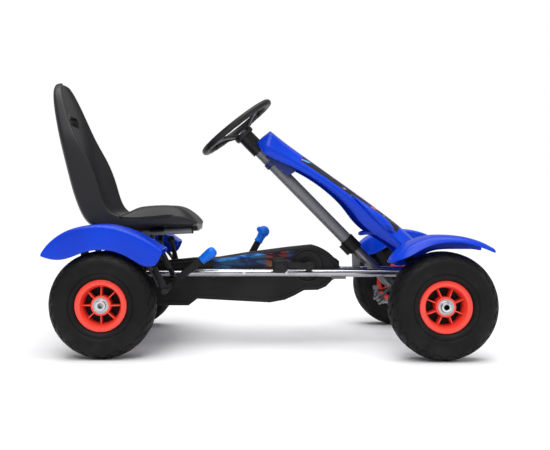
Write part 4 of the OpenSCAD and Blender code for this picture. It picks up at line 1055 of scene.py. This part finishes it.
def pan_groove(side):
    """The wedge-shaped recess along the side of the pan, under its lip."""
    outline = [(20, 344), (60, 342), (110, 343), (168, 350), (150, 339), (100, 334), (24, 336)]
    mesh = bmesh.new()
    edges = line(mesh, [(REAR_AXLE.x + MM * x, side * 0.138, MM * z) for x, z in outline],
                 closed=True)
    thickened(mesh, edges, (0, side * 0.020, 0))
    return mesh


class KART_OT_seat(bpy.types.Operator):
    """The moulded bucket seat with rolled lips, side recesses and a slot in its back"""
    bl_idname = "kart.seat"
    bl_label = "Seat"

    def execute(self, context):
        shell = add_piece("seat_moulding", seat_mesh(), "seat", [seat_black()],
                          ["seat_shell"], sharp=0, subdivide=2)
        for cutter in (hand_slot(), pan_groove(RIGHT), pan_groove(LEFT)):
            cut_from(shell, cutter)
        return {"FINISHED"}


# ------------------------------------------------------------------ chain cover

def cover_outline():
    """The cover's outline in millimetres, x from the crank and z from the crank's axle."""
    drop = (REAR_AXLE.z - CRANK.z) / MM
    back = (REAR_AXLE.x - CRANK.x) / MM

    def arc(cx, cz, radius, start, stop, steps):
        return [(cx + radius * math.cos(math.radians(start + (stop - start) * k / steps)),
                 cz + radius * math.sin(math.radians(start + (stop - start) * k / steps)))
                for k in range(steps + 1)]

    lower = [(back - 30, drop - 33), (-326, drop - 33.5), (-302, drop - 15), (-103, drop - 25.5),
             (-62, drop - 18), (-35, drop - 6), (-10, drop + 8), (28, drop + 9), (50, drop + 18),
             (68, drop + 36), (98, -27)]
    upper = arc(-6, -47, 104, 18, 80, 14) + [
        (-50, 49), (-158, 35), (-245, 21), (-313, 19), (back + 60, drop + 82), (back - 16, drop + 60)]
    return lower + upper + arc(back - 6, drop + 10, 40, 108, 232, 10)


def cover_mesh(side):
    """One half of the cover, with a rounded rim and a slightly sunk flank."""
    mesh = bmesh.new()
    edges = line(mesh, [CRANK + MM * Vector((x, 0, z)) for x, z in cover_outline()], closed=True)
    thickened(mesh, edges, (0, side * COVER_HALF, 0))
    rim = [e for e in mesh.edges if all(abs(abs(v.co.y) - COVER_HALF) < 1e-6 for v in e.verts)]
    bmesh.ops.bevel(mesh, geom=rim, offset=0.007, offset_type="OFFSET", segments=5, profile=0.5,
                    affect="EDGES", material=-1, clamp_overlap=True)
    flank = max(mesh.faces, key=lambda f: f.calc_area() if abs(
        f.calc_center_median().y - side * COVER_HALF) < 1e-4 else 0)
    bmesh.ops.inset_region(mesh, faces=[flank], thickness=0.004, depth=0.0, use_even_offset=True)
    bmesh.ops.inset_region(mesh, faces=[flank], thickness=0.0012, depth=-0.0012,
                           use_even_offset=True)
    return mesh


def cover_ring_mesh(side):
    """The stepped rings round the crank on the flank of the cover."""
    mesh = bmesh.new()
    inner, outer, sunk = 0.0232, 0.0465, -0.0025
    profile = [(outer, 0.0), (0.0462, 0.0016), (0.0450, 0.0020), (0.0420, 0.0020), (0.0410, 0.0010),
               (0.0400, -0.0005), (0.0300, -0.0005), (0.0292, 0.0012), (0.0280, 0.0016),
               (0.0240, 0.0014), (inner, 0.0), (inner, sunk), (outer, sunk)]
    spun(mesh, profile, 80, closed=True)
    mesh.transform(outward(CRANK.x, COVER_HALF, CRANK.z, side))
    return mesh


class KART_OT_chain_cover(bpy.types.Operator):
    """The two halves of the chain cover, with stepped rings round the crank"""
    bl_idname = "kart.chain_cover"
    bl_label = "Chain cover"

    def execute(self, context):
        for side, word in SIDES:
            add_piece(f"cover_shell_{word}", cover_mesh(side), "frame",
                      [cover_black()], [f"chain_cover_{word}"], sharp=30)
            add_piece(f"cover_rings_{word}", cover_ring_mesh(side), "frame",
                      [powder_black()], sharp=30)
        return {"FINISHED"}


# ------------------------------------------------------------------ steering wheel and grips

def down_column(tilt=0.0):
    """Places a shape drawn about +Z with its +Z pointing down the column."""
    return (Matrix.Translation(WHEEL_HUB)
            @ Matrix.Rotation(math.acos(COLUMN_DOWN.z) + math.radians(tilt), 4, "Y"))


def steering_wheel_mesh(sizes):
    """The rim, with finger ribs underneath, and four spokes that rise from the hub."""
    root, spoke_half, dish, rim_tilt = 0.018, 0.0085, 0.024, 6.4
    mesh = bmesh.new()
    thick = sizes.rim_thickness / 2
    circle = [(sizes.radius + thick * math.cos(a), thick * math.sin(a))
              for a in (math.tau * k / 20 for k in range(20))]
    spun(mesh, circle, 120, closed=True)
    for vert in mesh.verts:
        angle = math.atan2(vert.co.y, vert.co.x)
        ring = Vector((vert.co.x, vert.co.y, 0)).normalized() * sizes.radius
        away = vert.co - ring
        under = max(0.0, away.z / thick)
        wave = 0.06 * math.cos(angle * 24) * under
        vert.co = ring + away * (0.985 - 0.05 * under + wave * 0.5)
    spokes = bmesh.new()
    for k in range(4):
        bar = box(spokes, (root, -spoke_half, -0.0035), (sizes.radius - 0.002, spoke_half, 0.0035))
        for vert in bar:
            if vert.co.x > 0.05:
                vert.co.y *= 0.75
        bmesh.ops.subdivide_edges(spokes, edges=[e for e in edges_of(bar) if abs(
            e.verts[0].co.x - e.verts[1].co.x) > 0.03], cuts=6, use_grid_fill=True)
        newest = [v for v in spokes.verts if v.tag is False]
        for vert in newest:
            reach = (vert.co.x - root) / (sizes.radius - root - 0.002)
            vert.co.z += dish * max(0.0, 1 - reach) ** 1.6
            vert.tag = True
        bmesh.ops.rotate(spokes, verts=newest, cent=(0, 0, 0),
                         matrix=Matrix.Rotation(math.radians(45 + 90 * k), 3, "Z"))
    sharp = [e for e in spokes.edges if e.calc_face_angle(0.0) > math.radians(50)]
    bevel(spokes, sharp, 0.0018, 3)
    take_in(mesh, spokes)
    mesh.transform(down_column(rim_tilt))
    return mesh


def wheel_pad_mesh():
    """The centre pad, a low drum with a raised rim."""
    mesh = bmesh.new()
    spun(mesh, [(0.0, 0.0195), (0.010, 0.0193), (0.0115, 0.0200), (0.020, 0.0202), (0.0265, 0.0212),
                (0.0284, 0.0240), (0.0290, 0.0290), (0.0285, 0.0335), (0.0265, 0.0358),
                (0.0, 0.0358)], 64)
    close_poles(mesh)
    mesh.transform(down_column())
    return mesh


class KART_OT_steering_wheel(bpy.types.Operator):
    """The steering wheel: a ribbed rim, four dished spokes and a centre pad"""
    bl_idname = "kart.steering_wheel"
    bl_label = "Steering wheel"

    def execute(self, context):
        add_piece("wheel_rim_and_spokes", steering_wheel_mesh(context.scene.kart_steering_wheel),
                  "steering", [wheel_black()], ["steering_wheel"], sharp=40)
        add_piece("wheel_pad", wheel_pad_mesh(), "steering", [wheel_black()],
                  sharp=35)
        return {"FINISHED"}


def lever_frame(joint, y, angle):
    """Places a shape whose +Z runs along a lever, from its pivot."""
    pivot = Vector(JOINTS[joint]["pos_m"])
    return (Matrix.Translation((pivot.x, y, pivot.z))
            @ Matrix.Rotation(math.radians(90 - angle), 4, "Y"))


class KART_OT_grips(bpy.types.Operator):
    """The grip of the brake lever and the ball of the coasting lever"""
    bl_idname = "kart.grips"
    bl_label = "Lever grips"

    def execute(self, context):
        grip = bmesh.new()
        spun(grip, [(0.0, 0.0975), (0.0105, 0.0975), (0.0120, 0.0990), (0.0122, 0.1020),
                    (0.0117, 0.1040), (0.0122, 0.1060), (0.0128, 0.1110), (0.0137, 0.1180),
                    (0.0144, 0.1260), (0.0145, 0.1320), (0.0139, 0.1370), (0.0122, 0.1415),
                    (0.0092, 0.1443), (0.0052, 0.1457), (0.0, 0.1460)], 40)
        close_poles(grip)
        grip.transform(lever_frame("brake_pull", centre("brake_grip").y, 38))
        add_piece("brake_grip_moulding", grip, "brake", [grip_blue()],
                  ["brake_grip"], sharp=40)
        ball = bmesh.new()
        radius, height = 0.0165, 0.152
        profile = [(0.0, 0.1180), (0.0112, 0.1180), (0.0120, 0.1190), (0.0120, 0.1230),
                   (0.0113, 0.1250), (0.0113, 0.1330), (0.0120, 0.1365)]
        profile += [(radius * math.sin(math.radians(a)), height - radius * math.cos(math.radians(a)))
                    for a in range(48, 180, 12)] + [(0.0, height + radius)]
        spun(ball, profile, 44)
        close_poles(ball)
        knob = bmesh.ops.create_uvsphere(ball, u_segments=24, v_segments=14, radius=0.008)["verts"]
        bmesh.ops.translate(ball, vec=(-0.014, 0, height), verts=knob)
        ball.transform(lever_frame("coast_tilt", centre("coast_knob").y, 61))
        add_piece("coast_ball", ball, "coast", [grip_blue()], ["coast_knob"], sharp=40)
        return {"FINISHED"}


# ------------------------------------------------------------------ pedals

def pedal_mesh(node):
    """A block with ribs across its four faces and a collar at each end."""
    half = breadth(node).y / 2
    block, rib_out, rib_half, rib_run, ribs, end_gap = 0.0155, 0.0180, 0.0022, 0.0125, 9, 0.008
    mesh = bmesh.new()
    body = box(mesh, (-block, -half, -block), (block, half, block))
    bevel(mesh, edges_of(body), 0.003, 3)
    for k in range(ribs):
        y = -half + end_gap + k * (2 * half - 2 * end_gap) / (ribs - 1)
        for x, z in ((rib_out, rib_run), (rib_run, rib_out)):
            rib = box(mesh, (-x, y - rib_half, -z), (x, y + rib_half, z))
            bevel(mesh, edges_of(rib), 0.0008, 2)
    for end in (-1, 1):
        collar = bmesh.new()
        spun(collar, [(0.0052, 0.0), (0.0105, 0.0), (0.0105, 0.0012), (0.0052, 0.0012)], 28, closed=True)
        collar.transform(Matrix.Translation((0, end * (half - 0.0006), 0))
                         @ Matrix.Rotation(math.radians(90), 4, "X"))
        take_in(mesh, collar)
    mesh.transform(Matrix.Translation(centre(node)))
    return mesh


class KART_OT_pedals(bpy.types.Operator):
    """Block pedals with raised treads on all four faces"""
    bl_idname = "kart.pedals"
    bl_label = "Pedals"

    def execute(self, context):
        for word in ("right", "left"):
            add_piece(f"pedal_block_{word}", pedal_mesh(f"pedal_{word}"), f"pedal_{word}",
                      [pedal_black()], [f"pedal_{word}"], sharp=35)
        return {"FINISHED"}


# ------------------------------------------------------------------ frame finishes

def frame_finishes():
    """Finish of each CAD node that stays as it is."""
    table = {
        bright_steel: ("frame_rail_right", "frame_rail_left", "rear_axle"),
        grey_steel: ("column_lower_tube", "steering_shaft", "frame_crossmembers"),
        column_steel: ("column_upper_tube", "seat_rail_right", "seat_rail_left", "tie_rod_right",
                       "tie_rod_left"),
        powder_black: ("front_beam", "bearing_hangers", "column_clamp", "crank_axle",
                       "fender_stays", "seat_supports", "tube_caps", "seat_sliders",
                       "crank_arm_right", "crank_arm_left", "steering_boss", "brake_lever",
                       "coast_lever", "knuckle_right", "knuckle_left"),
        zinc: ("axle_bearings", "frame_bolts", "brake_spring", "rear_axle_nuts"),
        bronze: ("bushes",),
        # The fairing bracket gets a darker copy of the body blue as painted shade.
        painted_shade_bracket_blue: ("fairing_bracket",),
        chain_steel: ("drive_chain", "chainring", "rear_sprocket"),
    }
    return {node: build for build, nodes in table.items() for node in nodes}


class KART_OT_frame_finishes(bpy.types.Operator):
    """Gives every frame part, axle and lever its metal or powder-coat finish"""
    bl_idname = "kart.frame_finishes"
    bl_label = "Frame finishes"

    def execute(self, context):
        for node, build in frame_finishes().items():
            for holder in frame["nodes"][node].material_slots:
                holder.material = build()
        return {"FINISHED"}


# ------------------------------------------------------------------ stage

# Each lamp: where it stands, what it points at, its diameter in metres and its power in watts
LAMPS = {"softbox": ((-0.5, -2.3, 2.5), (0.05, 0, 0.3), 2.0, 44),
         "side": ((2.6, -1.2, 1.3), (0.2, 0, 0.3), 1.4, 12)}
# The wide lamp overhead, the same at every place on the floor: spread in degrees, and strength
OVERHEAD = (60.0, 2.6)
CAMERA = {"place": (-0.0472, -1.957, 0.363), "lens": 46.2, "sensor": 36.0,
          "shift": (0.058, -0.0304)}
FLOOR_TONE, FLOOR_HALF = (0.90, 0.90, 0.905), 9.0
ROOM_LIGHT = 0.36
BACKDROP_LIGHT = 1.0


class KART_OT_stage(bpy.types.Operator):
    """A pale floor, a white room, soft studio lights and the camera"""
    bl_idname = "kart.stage"
    bl_label = "Stage"

    def execute(self, context):
        scene = context.scene
        scene.view_settings.view_transform = "Standard"
        self.floor()
        self.room(scene)
        for name, (place, target, size, power) in LAMPS.items():
            lamp = bpy.data.lights.new(name, "AREA")
            lamp.shape, lamp.size, lamp.energy = "DISK", size, power
            holder = bpy.data.objects.new(name, lamp)
            holder.location = place
            holder.rotation_euler = (Vector(target) - Vector(place)).to_track_quat(
                "-Z", "Y").to_euler()
            scene.collection.objects.link(holder)
        sun = bpy.data.lights.new("overhead", "SUN")
        sun.angle, sun.energy = math.radians(OVERHEAD[0]), OVERHEAD[1]
        scene.collection.objects.link(bpy.data.objects.new("overhead", sun))
        camera = bpy.data.objects.new("camera", bpy.data.cameras.new("camera"))
        camera.data.lens, camera.data.sensor_width = CAMERA["lens"], CAMERA["sensor"]
        camera.data.shift_x, camera.data.shift_y = CAMERA["shift"]
        camera.location = CAMERA["place"]
        camera.rotation_euler = (math.radians(90), 0, 0)
        scene.collection.objects.link(camera)
        scene.camera = camera
        return {"FINISHED"}

    def floor(self):
        """A plain pale floor."""
        slab = bmesh.new()
        bmesh.ops.create_grid(slab, x_segments=1, y_segments=1, size=FLOOR_HALF)
        mesh = bpy.data.meshes.new("floor")
        slab.to_mesh(mesh)
        slab.free()
        pale = bpy.data.materials.new("pale_floor")
        pale.use_nodes = True
        shader = pale.node_tree.nodes["Principled BSDF"]
        shader.inputs["Base Color"].default_value = rgba(FLOOR_TONE)
        shader.inputs["Roughness"].default_value = 0.8
        mesh.materials.append(pale)
        ground = bpy.data.objects.new("floor", mesh)
        bpy.context.scene.collection.objects.link(ground)

    def room(self, scene):
        """White walls, which are seen brighter than they light the kart."""
        world = bpy.data.worlds.new("studio")
        world.use_nodes = True
        tree = world.node_tree
        seen = add(tree, "ShaderNodeLightPath").outputs["Is Camera Ray"]
        strength = ramp(tree, seen, 0.0, 1.0, ROOM_LIGHT, BACKDROP_LIGHT)
        walls = tree.nodes["Background"]
        walls.inputs["Color"].default_value = (1.0, 1.0, 1.0, 1.0)
        tree.links.new(strength, walls.inputs["Strength"])
        scene.world = world


# ------------------------------------------------------------------ panel and registration

OPERATORS = (KART_OT_stage, KART_OT_frame_finishes, KART_OT_tyres, KART_OT_rims, KART_OT_hubs,
             KART_OT_fairing, KART_OT_fenders, KART_OT_seat, KART_OT_chain_cover,
             KART_OT_steering_wheel, KART_OT_grips, KART_OT_pedals)


class KART_PT_panel(bpy.types.Panel):
    """Lists the kart's pieces and sizes"""
    bl_idname = "KART_PT_panel"
    bl_label = "Pedal go kart"
    bl_space_type = "VIEW_3D"
    bl_region_type = "UI"
    bl_category = "Kart"

    def draw(self, context):
        for name, group in SETTINGS.items():
            part = self.layout.box()
            for field in group.__annotations__:
                part.prop(getattr(context.scene, name), field)
        for operator in OPERATORS:
            self.layout.operator(operator.bl_idname)


def register():
    for kind in (*SETTINGS.values(), *OPERATORS, KART_PT_panel):
        bpy.utils.register_class(kind)
    for name, group in SETTINGS.items():
        setattr(bpy.types.Scene, name, bpy.props.PointerProperty(type=group))


def unregister():
    for name in SETTINGS:
        delattr(bpy.types.Scene, name)
    for kind in reversed((*SETTINGS.values(), *OPERATORS, KART_PT_panel)):
        bpy.utils.unregister_class(kind)


def main():
    register()
    for operator in OPERATORS:
        group, name = operator.bl_idname.split(".")
        getattr(getattr(bpy.ops, group), name)()


if __name__ == "__main__":
    main()
